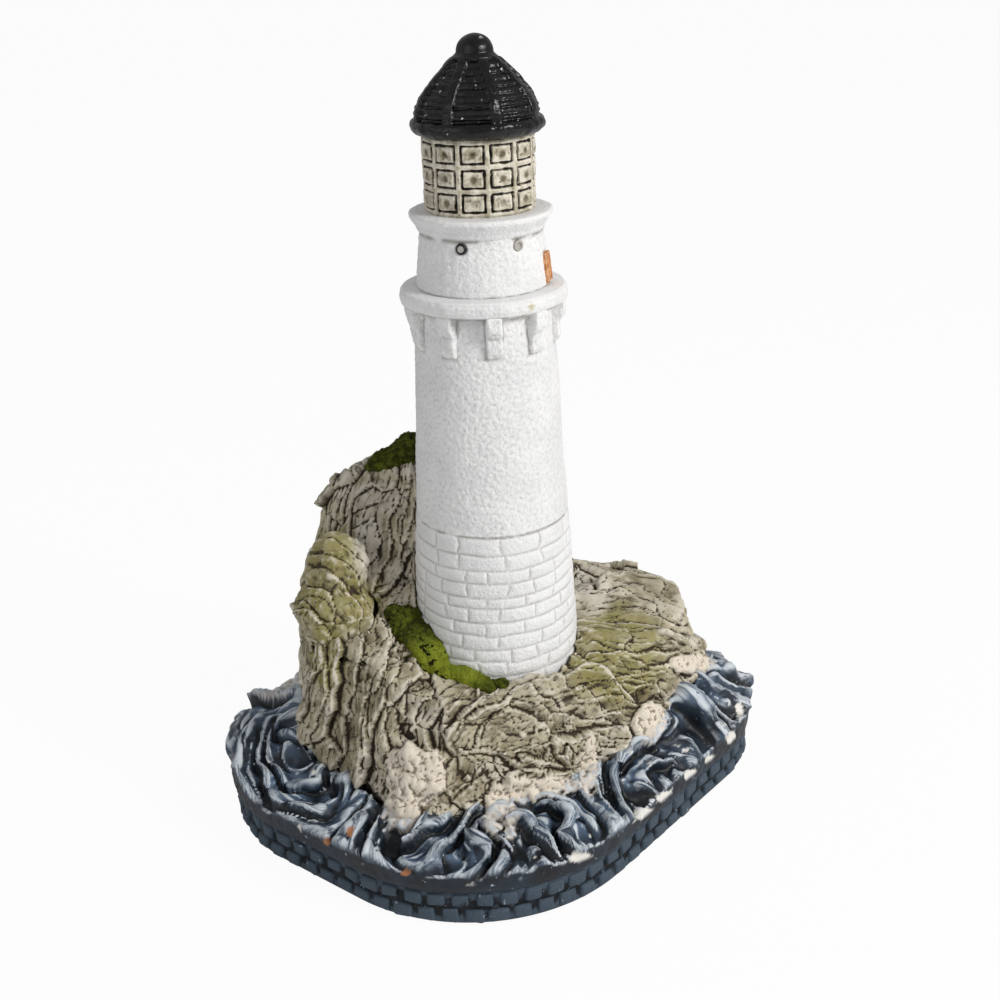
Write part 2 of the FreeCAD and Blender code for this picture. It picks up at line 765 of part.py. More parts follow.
def disc(radius, length, azimuth, out, height):
    """A short many-sided disc that looks out from the tower."""
    turns = [2 * math.pi * i / DISC_SIDES for i in range(DISC_SIDES)]
    points = [Vector(radius * math.cos(turn), radius * math.sin(turn), 0) for turn in turns]
    solid = Part.Face(Part.makePolygon(points + points[:1])).extrude(Vector(0, 0, length))
    solid.Placement = facing(azimuth, out, height)
    return solid


def door_block(side_gap, length):
    """The room of the door, or with no gap the door itself."""
    wide = size("door_width") + 2 * side_gap
    tall = size("door_height") + side_gap
    block = Part.makeBox(wide, tall, length, Vector(-wide / 2, 0, 0))
    block.Placement = facing(size("door_azimuth"), value(DOOR_FLOOR), 0)
    return block


def watch_room():
    """The drum over the gallery, with two portholes and the recess of the door."""
    top = "sizes.watch_height"
    drum = stacked("watch", [("sizes.watch_radius", "0"), ("sizes.watch_top_radius", top)],
                   TOWER_SIDES)
    cast = with_spigot("watch", drum, "sizes.deck_height + sizes.spigot_length")
    socketed = with_socket("watch", cast, top)
    doc.recompute()
    gap = size("fit_gap") / 4
    clear = size("watch_radius")
    holes = [disc(size("porthole_radius") + gap, clear, size("porthole_" + name),
                  value(PORTHOLE_FLOOR), size("porthole_rise")) for name in ("left", "right")]
    holes.append(door_block(gap, clear))
    made("watch_room", largest(socketed.Shape.cut(holes)), seat=WATCH_SEAT)


def portholes():
    """Two dished discs, each seated on the floor of its bore."""
    length = size("porthole_depth") + size("porthole_proud")
    dish_depth = size("porthole_proud")
    discs = []
    for name in ("left", "right"):
        azimuth = size("porthole_" + name)
        body = disc(size("porthole_radius"), length, azimuth, value(PORTHOLE_FLOOR),
                    size("porthole_rise"))
        dish = disc(size("porthole_bore"), length, azimuth,
                    value(PORTHOLE_FLOOR) + length - dish_depth, size("porthole_rise"))
        discs.append(body.cut(dish))
    made("portholes", Part.makeCompound(discs), seat=WATCH_SEAT)


def gallery_door():
    """A plank door that stands in its recess on the gallery."""
    made("gallery_door", door_block(0, value(DOOR_THICKNESS)), seat=WATCH_SEAT)


def upper_gallery():
    """The narrow upper gallery, a ring on a hollow moulding."""
    top = "sizes.cap_height"
    wall = "sizes.watch_top_radius"
    edge = "sizes.cap_radius"
    reach = "(%s - %s)" % (edge, wall)
    ring = stacked("cap", [
        (wall, "0"), ("%s + %s * 0.14" % (wall, reach), top + " * 0.26"),
        ("%s + %s * 0.46" % (wall, reach), top + " * 0.5"),
        ("%s - %s * 0.08" % (edge, reach), top + " * 0.64"), (edge, top + " * 0.78"),
        ("%s - %s * 0.16" % (edge, reach), top)], TOWER_SIDES)
    keep(place(with_bore("cap", ring, top), CAP_SEAT), "upper_gallery")


def lantern_room():
    """A twelve-sided drum with raised glazing bars and three rows of raised panes."""
    top = "sizes.lantern_height"
    half_side = math.pi / LANTERN_SIDES
    corner = 1 / math.cos(half_side)
    core = "sizes.lantern_core * %.5f" % corner
    row_height = "(sizes.lantern_height - sizes.bar_width) / %d" % PANE_ROWS
    bars = [prism("lantern_bar_%d" % (row + 1), "sizes.lantern_radius",
                  "%d * %s" % (row, row_height), "sizes.bar_width", LANTERN_SIDES)
            for row in range(PANE_ROWS + 1)]
    glazing = prism("lantern_core", core, "0", top, LANTERN_SIDES)
    drum = joined("lantern_drum", [glazing] + bars)
    cast = with_spigot("lantern", drum, "sizes.cap_height + sizes.spigot_length")
    socketed = with_socket("lantern", cast, top)
    doc.recompute()
    bar = size("bar_width")
    root = size("lantern_core") - bar
    pane_half = size("lantern_core") * math.tan(half_side) - bar / 2 - size("pane_gap")
    rise = value(row_height)
    raised = []
    for side in range(LANTERN_SIDES):
        mullion = Part.makeBox(bar, size("lantern_radius") - root, size("lantern_height"),
                               Vector(-bar / 2, -size("lantern_radius"), 0))
        raised.append(turned_copy(mullion, side * 2 * half_side))
        for row in range(PANE_ROWS):
            low = rise * row + bar + size("pane_gap")
            pane = Part.makeBox(2 * pane_half, bar + size("pane_proud"),
                                rise * (row + 1) - size("pane_gap") - low,
                                Vector(-pane_half, -size("lantern_core") - size("pane_proud"),
                                       low))
            raised.append(turned_copy(pane, (side * 2 + 1) * half_side))
    whole = socketed.Shape.fuse(raised)
    whole.rotate(Vector(), Vector(0, 0, 1), size("pane_azimuth"))
    made("lantern_room", whole, seat=LANTERN_SEAT)


def turned_copy(shape, angle):
    copy = shape.copy()
    copy.rotate(Vector(), Vector(0, 0, 1), math.degrees(angle))
    return copy


def roof_courses():
    """Roll after roll up the roof, as radius and height above the eaves."""
    outline = []
    spans = ((DOME_COURSES, "sizes.eave_height", "sizes.dome_height",
              "sizes.dome_radius", "sizes.shoulder_radius", DOME_BULGE),
             (CONE_COURSES, "sizes.eave_height + sizes.dome_height", "sizes.cone_height",
              "sizes.shoulder_radius", "sizes.neck_radius", 1.0))
    for count, foot, rise, low, high, bulge in spans:
        for i in range(count):
            for step, proud in ((0.0, 0.0), (0.3, 1.0)):
                share = (i + step) / count
                outline.append((
                    "%s - (%s - %s) * %.4f + sizes.course_proud * %s"
                    % (low, low, high, share ** bulge, proud),
                    "%s + %s * %.4f" % (foot, rise, share)))
    return outline


def roof():
    """The domed roof: rolled eaves, ring courses and eight flat ribs."""
    outline = [("sizes.soffit_radius", "0"), ("sizes.eave_radius", "sizes.eave_height * 0.7"),
               ("sizes.eave_radius", "sizes.eave_height * 0.9")]
    outline += roof_courses()
    outline.append(("sizes.neck_radius", ROOF_TOP))
    cast = with_spigot("roof", stacked("roof", outline, ROOF_SIDES), "sizes.spigot_length")
    pin_hole = prism("roof_pin_hole", "sizes.pin_radius + sizes.fit_gap",
                     ROOF_TOP + " - sizes.spigot_length - sizes.fit_gap",
                     "sizes.spigot_length + 1")
    bored = less("roof_bored", cast, pin_hole)
    doc.recompute()
    made("roof", bored.Shape.fuse(roof_ribs()), seat=ROOF_SEAT)


def roof_ribs():
    """Flat ribs that follow the dome and the cone."""
    proud = size("rib_proud")
    shoulder = size("eave_height") + size("dome_height")
    waist = size("eave_height") + size("dome_height") / 2
    belly = size("dome_radius") - 0.5 ** DOME_BULGE * (size("dome_radius")
                                                       - size("shoulder_radius"))
    side = [(size("dome_radius") - 2 * proud, size("eave_height")),
            (size("dome_radius") + proud, size("eave_height")), (belly + proud, waist),
            (size("shoulder_radius") + proud, shoulder),
            (size("neck_radius") + proud, value(ROOF_TOP)),
            (size("neck_radius") - proud, value(ROOF_TOP)),
            (size("shoulder_radius") - 2 * proud, shoulder)]
    half = size("rib_width") / 2
    points = [Vector(-half, -radius, height) for radius, height in side]
    rib = Part.Face(Part.makePolygon(points + points[:1])).extrude(Vector(2 * half, 0, 0))
    return [turned_copy(rib, math.radians(size("rib_azimuth")) + 2 * math.pi * i / ROOF_RIBS)
            for i in range(ROOF_RIBS)]


def finial():
    """The ball on its collar, with a pin that goes down into the roof."""
    outline = [("sizes.collar_radius", "0"), ("sizes.collar_radius", "sizes.collar_height / 2"),
               ("sizes.collar_radius * 0.7", "sizes.collar_height")]
    for step in range(1, BALL_RINGS):
        tilt = 180.0 * (step / BALL_RINGS)
        if tilt > BALL_NECK:
            outline.append(("sizes.ball_radius * sin(%.3f deg)" % tilt,
                            "sizes.collar_height + sizes.ball_radius * (%.4f - cos(%.3f deg))"
                            % (math.cos(math.radians(BALL_NECK)), tilt)))
    outline.append(("sizes.ball_radius * 0.1",
                    "sizes.collar_height + sizes.ball_radius * %.4f"
                    % (1 + math.cos(math.radians(BALL_NECK)))))
    ball = stacked("finial", outline, FINIAL_SIDES)
    pin = prism("finial_pin", "sizes.pin_radius", "-sizes.spigot_length",
                "sizes.spigot_length + sizes.collar_height / 2")
    keep(place(joined("finial_cast", [ball, pin]), FINIAL_SEAT), "finial")


def build():
    felt_pad()
    plinth()
    sea(rock_mass(size("fit_gap")))
    crag, cliff, room, stones = rock()
    foot_turf(crag, cliff, room, stones)
    cliff_turf(cliff, room, stones)
    masonry_foot()
    tower_shaft()
    gallery_deck()
    corbels()
    watch_room()
    portholes()
    gallery_door()
    upper_gallery()
    lantern_room()
    roof()
    finial()


def check():
    """Stop if any object failed to build."""
    doc.recompute()
    for obj in doc.Objects:
        if "Invalid" in obj.State or "Error" in obj.State:
            raise RuntimeError("%s is in state %s" % (obj.Label, obj.State))
    for piece in pieces:
        if piece.Shape.isNull() or not piece.Shape.isValid() or not piece.Shape.Solids:
            raise RuntimeError(piece.Label + " is not a valid solid")


def write():
    os.makedirs("parts", exist_ok=True)
    for piece in pieces:
        piece.Shape.exportStep("parts/%s.step" % piece.Label)


build()
check()
write()
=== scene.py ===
import math

import bmesh
import bpy
import numpy as np
from mathutils import Matrix, Vector


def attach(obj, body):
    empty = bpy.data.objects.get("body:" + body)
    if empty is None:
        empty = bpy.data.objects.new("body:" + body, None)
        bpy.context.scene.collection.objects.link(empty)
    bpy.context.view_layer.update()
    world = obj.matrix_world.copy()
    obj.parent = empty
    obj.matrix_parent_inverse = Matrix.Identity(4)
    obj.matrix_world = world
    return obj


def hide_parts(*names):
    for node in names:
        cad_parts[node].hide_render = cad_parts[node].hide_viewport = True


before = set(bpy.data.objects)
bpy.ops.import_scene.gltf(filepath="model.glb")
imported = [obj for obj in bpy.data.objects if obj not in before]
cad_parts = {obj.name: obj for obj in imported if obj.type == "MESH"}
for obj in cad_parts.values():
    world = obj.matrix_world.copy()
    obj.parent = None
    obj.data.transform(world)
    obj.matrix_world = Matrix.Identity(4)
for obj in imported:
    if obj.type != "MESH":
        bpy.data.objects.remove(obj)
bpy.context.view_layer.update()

# Lengths below are in millimetres unless a name says otherwise; meshes are stored in metres.
MM = 0.001
AXIS_X, AXIS_Y = 1.75, 3.45

# Camera that took the photograph, beside the tower's axis: distance in front, height over
# the underside and side step, then lens in pixels of a 1000 pixel frame, tilt and roll.
EYE_BACK, EYE_HEIGHT, EYE_SIDE = 430.0, 309.6, 3.0
LENS_PX, TILT, ROLL = 1300.0, math.radians(23.64), math.radians(-2.02)

# Heights over the underside: the sea's lip and rim, the upper boulder, and the seats up the
# tower.
LIP_FOOT, RIM = 14.0, 22.8
UPPER_BOULDER_FOOT = 87.0
SHAFT_FOOT, DECK_FOOT, WATCH_FOOT = 119.0, 196.0, 201.5
CAP_FOOT, LANTERN_FOOT, ROOF_FOOT = 220.5, 226.5, 250.5

# Sizes of what repeats or lies on the rock. Azimuths are in degrees.
MASONRY_RADIUS, TURF_THICKNESS = 31.2, 3.0
COBBLE_PITCH, COBBLE_ROWS = 8.3, (4.4, 10.8)
CORBELS, CORBEL_AZIMUTH = 10, 7.0

# Places in the photograph's frame, in pixels. Oval patches are given by their centre, half
# width and half height.
OLIVE_ROCK = ((338, 563, 34, 34), (338, 598, 46, 34), (328, 655, 17, 34), (615, 655, 48, 48))
PALE_ROCK = ((368, 545, 15, 38), (375, 500, 30, 16), (590, 590, 22, 26))
FOAM = ((414, 775, 32, 30), (402, 808, 18, 24), (500, 812, 17, 28), (522, 790, 22, 13),
        (555, 786, 26, 9), (589, 768, 9, 26), (650, 722, 15, 20), (272, 680, 30, 16),
        (690, 664, 24, 9))
BLUE_WATER = ((690, 680, 36, 36), (560, 812, 60, 14), (290, 790, 26, 20), (270, 700, 40, 22),
              (440, 865, 70, 12), (620, 770, 30, 16), (345, 800, 26, 12))
RIM_CHIPS = ((583, 858, 12, 5), (648, 814, 13, 6), (668, 798, 12, 6), (695, 776, 9, 6),
             (712, 760, 9, 5), (731, 738, 5, 8), (740, 712, 4, 10), (470, 884, 6, 3))
RUST_SPOTS = ((327, 842, 4, 4), (350, 832, 3, 5), (405, 873, 5, 2.5))
SUNLIT_TURF = (445, 665, 46, 26)
GALLERY_STAIN = (530, 312, 7, 9)

# The beds at the front bow round one centre, and the ridges begin left of a column. The
# boulders' beds bow round a centre each. The cliff's turf ends on a line through a point.
BEDS_CENTRE, RIDGES_LEFT_OF = (571, 769), 432
UPPER_BOULDER, LOWER_BOULDER = (300, 640), (290, 690)
CLIFF_TURF_EDGE = (343, 479)
PX_PER_MM = 2.7


# --- unevenness ------------------------------------------------------------------------

def scatter(ix, iy, iz, seed):
    """A repeatable number from -1 to 1 for each cell of a lattice."""
    h = (ix * 374761393 + iy * 668265263 + iz * 1440662683 + seed * 1274126177) & 0xFFFFFFFF
    h = ((h ^ (h >> 13)) * 1274126177) & 0xFFFFFFFF
    h = ((h ^ (h >> 15)) * 2246822519) & 0xFFFFFFFF
    return (h ^ (h >> 16)) / 2147483648.0 - 1.0


def lumps(p, span, seed=0):
    """Smooth unevenness with lumps about a span across."""
    q = p / span
    cell = np.floor(q).astype(np.int64)
    f = q - cell
    f = f * f * (3 - 2 * f)
    total = np.zeros(len(p))
    for dx in (0, 1):
        for dy in (0, 1):
            for dz in (0, 1):
                weight = ((f[:, 0] if dx else 1 - f[:, 0]) * (f[:, 1] if dy else 1 - f[:, 1])
                          * (f[:, 2] if dz else 1 - f[:, 2]))
                total += weight * scatter(cell[:, 0] + dx, cell[:, 1] + dy,
                                          cell[:, 2] + dz, seed)
    return total


def rubble(p, span, octaves=3, seed=0):
    """Lumps with smaller and smaller lumps on them."""
    return sum(lumps(p, span / 2 ** k, seed + 17 * k) * 0.5 ** k for k in range(octaves))


def stir(p, span, amount, seed):
    """Points moved about, so that a pattern on them bends and swirls."""
    return p + amount * np.stack([lumps(p, span, seed + k) for k in (0, 101, 202)], 1)


def grains(p, span, seed=0):
    """Distance, in spans, to the nearest and to the second of points scattered in space."""
    q = p / span
    cell = np.floor(q).astype(np.int64)
    first = np.full(len(p), 9.0)
    second = np.full(len(p), 9.0)
    for dx in (-1, 0, 1):
        for dy in (-1, 0, 1):
            for dz in (-1, 0, 1):
                c = cell + np.array([dx, dy, dz])
                spot = np.stack([c[:, k] + 0.5 + 0.5 * scatter(c[:, 0], c[:, 1], c[:, 2],
                                                               seed + 7 * k)
                                 for k in range(3)], 1)
                d = np.linalg.norm(spot - q, axis=1)
                second = np.minimum(second, np.maximum(d, first))
                first = np.minimum(first, d)
    return first, second


def ease(low, high, x):
    """0 up to low, 1 from high on, and a smooth rise between; low may be the larger."""
    t = np.clip((x - low) / (high - low), 0, 1)
    return t * t * (3 - 2 * t)


def cells(u, v, seed):
    """Cells round points scattered over a plane: how far each place is from its cell's edge,
    the cell's own number from -1 to 1, and the place's offset across the cell."""
    cu = np.floor(u).astype(np.int64)
    cv = np.floor(v).astype(np.int64)
    first = np.full(len(u), 9.0)
    second = np.full(len(u), 9.0)
    own = np.zeros(len(u))
    offset = np.zeros(len(u))
    for a in (-1, 0, 1):
        for b in (-1, 0, 1):
            x, y = cu + a, cv + b
            du = u - x - 0.5 - 0.42 * scatter(x, y, 0, seed)
            dv = v - y - 0.5 - 0.42 * scatter(x, y, 0, seed + 7)
            d = np.hypot(du, dv)
            closer = d < first
            second = np.where(closer, first, np.minimum(second, d))
            own = np.where(closer, scatter(x, y, 0, seed + 14), own)
            offset = np.where(closer, du, offset)
            first = np.where(closer, d, first)
    return second - first, own, offset


def photo(p):
    """Where points, in mm, appear in the photograph's 1000 pixel frame."""
    x = p[:, 0] - AXIS_X - EYE_SIDE
    y = p[:, 1] - AXIS_Y + EYE_BACK
    z = p[:, 2] - EYE_HEIGHT
    depth = y * math.cos(TILT) - z * math.sin(TILT)
    across = LENS_PX * x / depth
    down = -LENS_PX * (y * math.sin(TILT) + z * math.cos(TILT)) / depth
    return (500 + across * math.cos(ROLL) - down * math.sin(ROLL),
            500 + across * math.sin(ROLL) + down * math.cos(ROLL))


def patch(px, py, *ovals):
    """How much of a point is in any of some oval patches of the frame, from 0 to 1."""
    soft = 0.35
    return np.maximum.reduce([
        1 - ease(1 - soft, 1 + soft, np.hypot((px - x) / half_wide, (py - y) / half_high))
        for x, y, half_wide, half_high in ovals])


def azimuth(p):
    """Degrees round the tower, 0 at the front and 90 at the right, and the distance."""
    dx = p[:, 0] - AXIS_X
    dy = p[:, 1] - AXIS_Y
    return np.degrees(np.arctan2(dx, -dy)), np.hypot(dx, dy)


# --- meshes ----------------------------------------------------------------------------

def add(name, data):
    """An object with its data, in the scene."""
    obj = bpy.data.objects.new(name, data)
    bpy.context.scene.collection.objects.link(obj)
    return obj


def mesh_object(name, points, faces):
    """An object from points in mm and faces, with its normals outwards."""
    mesh = bpy.data.meshes.new(name)
    mesh.from_pydata([tuple(v) for v in np.asarray(points, float) * MM], [], faces)
    obj = add(name, mesh)
    tidy(obj)
    return obj


def tidy(obj, merge=1e-6):
    """Merge loose points, turn the faces outwards and shade them smooth."""
    bm = bmesh.new()
    bm.from_mesh(obj.data)
    bmesh.ops.remove_doubles(bm, verts=bm.verts, dist=merge)
    bmesh.ops.recalc_face_normals(bm, faces=bm.faces)
    bm.to_mesh(obj.data)
    bm.free()
    obj.data.shade_smooth()


def points_of(obj):
    """An object's points, in mm."""
    co = np.empty(len(obj.data.vertices) * 3)
    obj.data.vertices.foreach_get("co", co)
    return co.reshape(-1, 3) / MM


def normals_of(obj):
    co = np.empty(len(obj.data.vertices) * 3)
    obj.data.vertex_normals.foreach_get("vector", co)
    return co.reshape(-1, 3)


def set_points(obj, points):
    obj.data.vertices.foreach_set("co", (points * MM).ravel())
    obj.data.update()


def raise_by(obj, heights):
    """Move each point along its normal."""
    set_points(obj, points_of(obj) + normals_of(obj) * heights[:, None])


def store(obj, name, values):
    """A number at each point, which a paint reads as an attribute."""
    layer = obj.data.attributes.new(name, "FLOAT", "POINT")
    layer.data.foreach_set("value", np.asarray(values, np.float32))


def store_way(obj, name, across, along):
    """A pair of distances on the surface, for textures that follow it."""
    layer = obj.data.attributes.new(name, "FLOAT_VECTOR", "POINT")
    rows = np.stack([across, along, 0 * across], 1)
    layer.data.foreach_set("vector", rows.astype(np.float32).ravel())


def smoothed(obj, points, rounds):
    """The points after some rounds of averaging with their neighbours."""
    ends = np.empty(len(obj.data.edges) * 2, np.int64)
    obj.data.edges.foreach_get("vertices", ends)
    a, b = ends[0::2], ends[1::2]
    count = np.bincount(ends, minlength=len(points))[:, None]
    for _ in range(rounds):
        total = np.stack([np.bincount(a, points[b, k], len(points))
                          + np.bincount(b, points[a, k], len(points)) for k in range(3)], 1)
        points = 0.5 * points + 0.5 * total / np.maximum(count, 1)
    return points


def store_relief(obj, fine, broad, gain):
    """Attribute relief: above 0 on edges and crests, below 0 in cracks and hollows."""
    points = points_of(obj)
    normals = normals_of(obj)
    relief = np.zeros(len(points))
    for rounds, share in ((fine, 2.0), (broad, 1.0)):
        relief += share * ((points - smoothed(obj, points, rounds)) * normals).sum(1)
    store(obj, "relief", np.clip(relief * gain, -1, 1))


def evaluated(obj, name):
    """The object's modifiers made real in a new plain object."""
    graph = bpy.context.evaluated_depsgraph_get()
    graph.update()
    mesh = bpy.data.meshes.new_from_object(obj.evaluated_get(graph))
    mesh.name = name
    made = add(name, mesh)
    bpy.data.objects.remove(obj)
    return made


def recast(obj, name, voxel, rounds):
    """One closed skin of small even faces over everything in the object."""
    remesh = obj.modifiers.new("skin", "REMESH")
    remesh.mode = "VOXEL"
    remesh.voxel_size = voxel * MM
    skin = evaluated(obj, name)
    set_points(skin, smoothed(skin, points_of(skin), rounds))
    skin.data.shade_smooth()
    return skin


def dense(node, name, voxel, rounds):
    """A fine skin over a copy of a CAD node."""
    copy = add(node + "_plain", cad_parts[node].data.copy())
    copy.data.materials.clear()
    tidy(copy, 2e-6)
    return recast(copy, name, voxel, rounds)


def lathe(name, outline, step, relief=None):
    """A turned solid on the tower's axis with its outline, pairs of radius and height in
    mm, divided into steps, and closed by a fan at each end."""
    stops = []
    for (r0, z0), (r1, z1) in zip(outline, outline[1:]):
        count = max(1, round(math.hypot(r1 - r0, z1 - z0) / step))
        stops += [(r0 + (r1 - r0) * i / count, z0 + (z1 - z0) * i / count)
                  for i in range(count)]
    stops.append(outline[-1])
    widest = max(r for r, z in outline)
    sides = max(24, round(2 * math.pi * widest / step))
    turn = 2 * math.pi * np.arange(sides) / sides
    rings = []
    for r, z in stops:
        rings.append(np.stack([AXIS_X + r * np.sin(turn), AXIS_Y - r * np.cos(turn),
                               np.full(sides, z)], 1))
    points = np.concatenate(rings)
    if relief is not None:
        degrees = np.tile(np.degrees(turn), len(stops))
        amount = relief(points, degrees)
        out = np.stack([np.tile(np.sin(turn), len(stops)), -np.tile(np.cos(turn), len(stops)),
                        np.zeros(len(points))], 1)
        points = points + out * amount[:, None]
    faces = []
    for k in range(len(stops) - 1):
        for i in range(sides):
            j = (i + 1) % sides
            faces.append((k * sides + i, k * sides + j, (k + 1) * sides + j,
                          (k + 1) * sides + i))
    first, last = len(points), len(points) + 1
    points = np.concatenate([points, [[AXIS_X, AXIS_Y, stops[0][1]],
                                      [AXIS_X, AXIS_Y, stops[-1][1]]]])
    top = (len(stops) - 1) * sides
    for i in range(sides):
        j = (i + 1) % sides
        faces.append((j, i, first))
        faces.append((top + i, top + j, last))
    return mesh_object(name, points, faces)


def slab(name, side, half_wide):
    """A flat-sided block: a polygon of radius and height pairs, extruded across the front."""
    count = len(side)
    points = [(x, -r, z) for x in (-half_wide, half_wide) for r, z in side]
    faces = [tuple(range(count)), tuple(range(2 * count - 1, count - 1, -1))]
    for i in range(count):
        j = (i + 1) % count
        faces.append((i, j, count + j, count + i))
    return mesh_object(name, points, faces)


def round_edges(obj, width, segments):
    """Rounded edges, in a new object."""
    bevel = obj.modifiers.new("edges", "BEVEL")
    bevel.width = width * MM
    bevel.segments = segments
    bevel.limit_method = "ANGLE"
    bevel.angle_limit = math.radians(30)
    return evaluated(obj, obj.name + "_soft")


def join(name, objs):
    """One object made of several, which it takes the place of."""
    bm = bmesh.new()
    for obj in objs:
        bm.from_mesh(obj.data)
        bpy.data.objects.remove(obj)
    mesh = bpy.data.meshes.new(name)
    bm.to_mesh(mesh)
    bm.free()
    made = add(name, mesh)
    made.data.shade_smooth()
    return made


# --- geometry node trees for what repeats ------------------------------------------------

def new_tree(name, inputs):
    """A tree with named inputs, and its two end nodes."""
    tree = bpy.data.node_groups.new(name, "GeometryNodeTree")
    tree.interface.new_socket("Geometry", in_out="INPUT", socket_type="NodeSocketGeometry")
    for label, kind in inputs:
        tree.interface.new_socket(label, in_out="INPUT", socket_type="NodeSocket" + kind)
    tree.interface.new_socket("Geometry", in_out="OUTPUT", socket_type="NodeSocketGeometry")
    return tree, tree.nodes.new("NodeGroupInput"), tree.nodes.new("NodeGroupOutput")


def node(tree, kind, **settings):
    """A node with its settings; in_0, in_1 and so on are its inputs' values."""
    made = tree.nodes.new(kind)
    for key, value in settings.items():
        if key.startswith("in_"):
            made.inputs[int(key[3:])].default_value = value
        else:
            setattr(made, key, value)
    return made


def set_out(tree, given, out, **sources):
    """End a tree: copies on points, made real and painted."""
    put = node(tree, "GeometryNodeInstanceOnPoints")
    for key, source in sources.items():
        tree.links.new(source, put.inputs[key.title()])
    real = node(tree, "GeometryNodeRealizeInstances")
    paint = node(tree, "GeometryNodeSetMaterial")
    tree.links.new(put.outputs["Instances"], real.inputs[0])
    tree.links.new(real.outputs[0], paint.inputs["Geometry"])
    tree.links.new(given.outputs["Paint"], paint.inputs["Material"])
    tree.links.new(paint.outputs[0], out.inputs[0])


def ring_tree():
    """Copies of a piece turned round the tower's axis in equal steps."""
    tree, given, out = new_tree("round_the_tower", (
        ("Piece", "Object"), ("Count", "Int"), ("First Azimuth", "Float"),
        ("Paint", "Material")))
    link = tree.links.new
    spots = node(tree, "GeometryNodeMeshLine", mode="OFFSET")
    link(given.outputs["Count"], spots.inputs["Count"])
    spots.inputs["Offset"].default_value = (0, 0, 0)
    place = node(tree, "ShaderNodeCombineXYZ", in_0=AXIS_X * MM, in_1=AXIS_Y * MM)
    link(place.outputs[0], spots.inputs["Start Location"])
    index = node(tree, "GeometryNodeInputIndex")
    share = node(tree, "ShaderNodeMath", operation="DIVIDE")
    link(index.outputs[0], share.inputs[0])
    link(given.outputs["Count"], share.inputs[1])
    angle = node(tree, "ShaderNodeMath", operation="MULTIPLY_ADD", in_1=2 * math.pi)
    link(share.outputs[0], angle.inputs[0])
    start = node(tree, "ShaderNodeMath", operation="RADIANS")
    link(given.outputs["First Azimuth"], start.inputs[0])
    link(start.outputs[0], angle.inputs[2])
    turn = node(tree, "ShaderNodeCombineXYZ")
    link(angle.outputs[0], turn.inputs[2])
    info = node(tree, "GeometryNodeObjectInfo")
    link(given.outputs["Piece"], info.inputs["Object"])
    set_out(tree, given, out, points=spots.outputs["Mesh"], instance=info.outputs["Geometry"],
            rotation=turn.outputs[0])
    return tree


def wall_tree():
    """Cobbles set along a closed curve, each a little larger, smaller or turned."""
    tree, given, out = new_tree("cobbles_along_the_wall", (
        ("Cobble", "Object"), ("Count", "Int"), ("Unevenness", "Float"), ("Seed", "Int"),
        ("Paint", "Material")))
    link = tree.links.new
    spots = node(tree, "GeometryNodeResampleCurve")
    link(given.outputs["Geometry"], spots.inputs["Curve"])
    link(given.outputs["Count"], spots.inputs["Count"])
    tangent = node(tree, "GeometryNodeInputTangent")
    aim = node(tree, "FunctionNodeAlignRotationToVector", axis="X")
    link(tangent.outputs[0], aim.inputs["Vector"])
    low = node(tree, "ShaderNodeMath", operation="SUBTRACT", in_0=1.0)
    high = node(tree, "ShaderNodeMath", operation="ADD", in_0=1.0)
    link(given.outputs["Unevenness"], low.inputs[1])
    link(given.outputs["Unevenness"], high.inputs[1])
    scale = node(tree, "FunctionNodeRandomValue", data_type="FLOAT_VECTOR")
    for end, side in ((low, scale.inputs[0]), (high, scale.inputs[1])):
        size = node(tree, "ShaderNodeCombineXYZ")
        for k in range(3):
            link(end.outputs[0], size.inputs[k])
        link(size.outputs[0], side)
    link(given.outputs["Seed"], scale.inputs["Seed"])
    info = node(tree, "GeometryNodeObjectInfo")
    link(given.outputs["Cobble"], info.inputs["Object"])
    set_out(tree, given, out, points=spots.outputs[0], instance=info.outputs["Geometry"],
            rotation=aim.outputs[0], scale=scale.outputs[0])
    return tree


def flock_tree():
    """Granules of flock scattered over a surface."""
    tree, given, out = new_tree("flock_granules", (
        ("Density", "Float"), ("Granule", "Float"), ("Seed", "Int"), ("Paint", "Material")))
    link = tree.links.new
    spots = node(tree, "GeometryNodeDistributePointsOnFaces")
    link(given.outputs["Geometry"], spots.inputs["Mesh"])
    link(given.outputs["Density"], spots.inputs["Density"])
    link(given.outputs["Seed"], spots.inputs["Seed"])
    grain = node(tree, "GeometryNodeMeshIcoSphere", in_0=1.0, in_1=1)
    scale = node(tree, "FunctionNodeRandomValue", data_type="FLOAT_VECTOR")
    scale.inputs[0].default_value = (0.5, 0.5, 0.5)
    scale.inputs[1].default_value = (1.5, 1.5, 1.2)
    link(given.outputs["Seed"], scale.inputs["Seed"])
    sized = node(tree, "ShaderNodeVectorMath", operation="SCALE")
    link(scale.outputs[0], sized.inputs[0])
    link(given.outputs["Granule"], sized.inputs["Scale"])
    set_out(tree, given, out, points=spots.outputs["Points"], instance=grain.outputs["Mesh"],
            rotation=spots.outputs["Rotation"], scale=sized.outputs[0])
    return tree


def grow(tree, host, name, **inputs):
    """Run a tree on a host object with its named inputs, and make the result plain."""
    modifier = host.modifiers.new("grow", "NODES")
    modifier.node_group = tree
    for item in tree.interface.items_tree:
        key = item.name.replace(" ", "_").lower()
        if getattr(item, "in_out", "") == "INPUT" and key in inputs:
            modifier[item.identifier] = inputs[key]
    return evaluated(host, name)


def ring_of(name, piece, count, first):
    """Copies of a piece in a ring round the tower, the first at an azimuth in degrees."""
    host = add(name + "_host", bpy.data.meshes.new(name + "_host"))
    made = grow(RING, host, name, piece=piece, count=count, first_azimuth=first)
    bpy.data.objects.remove(piece)
    return made


# --- shader groups and paints -------------------------------------------------------------

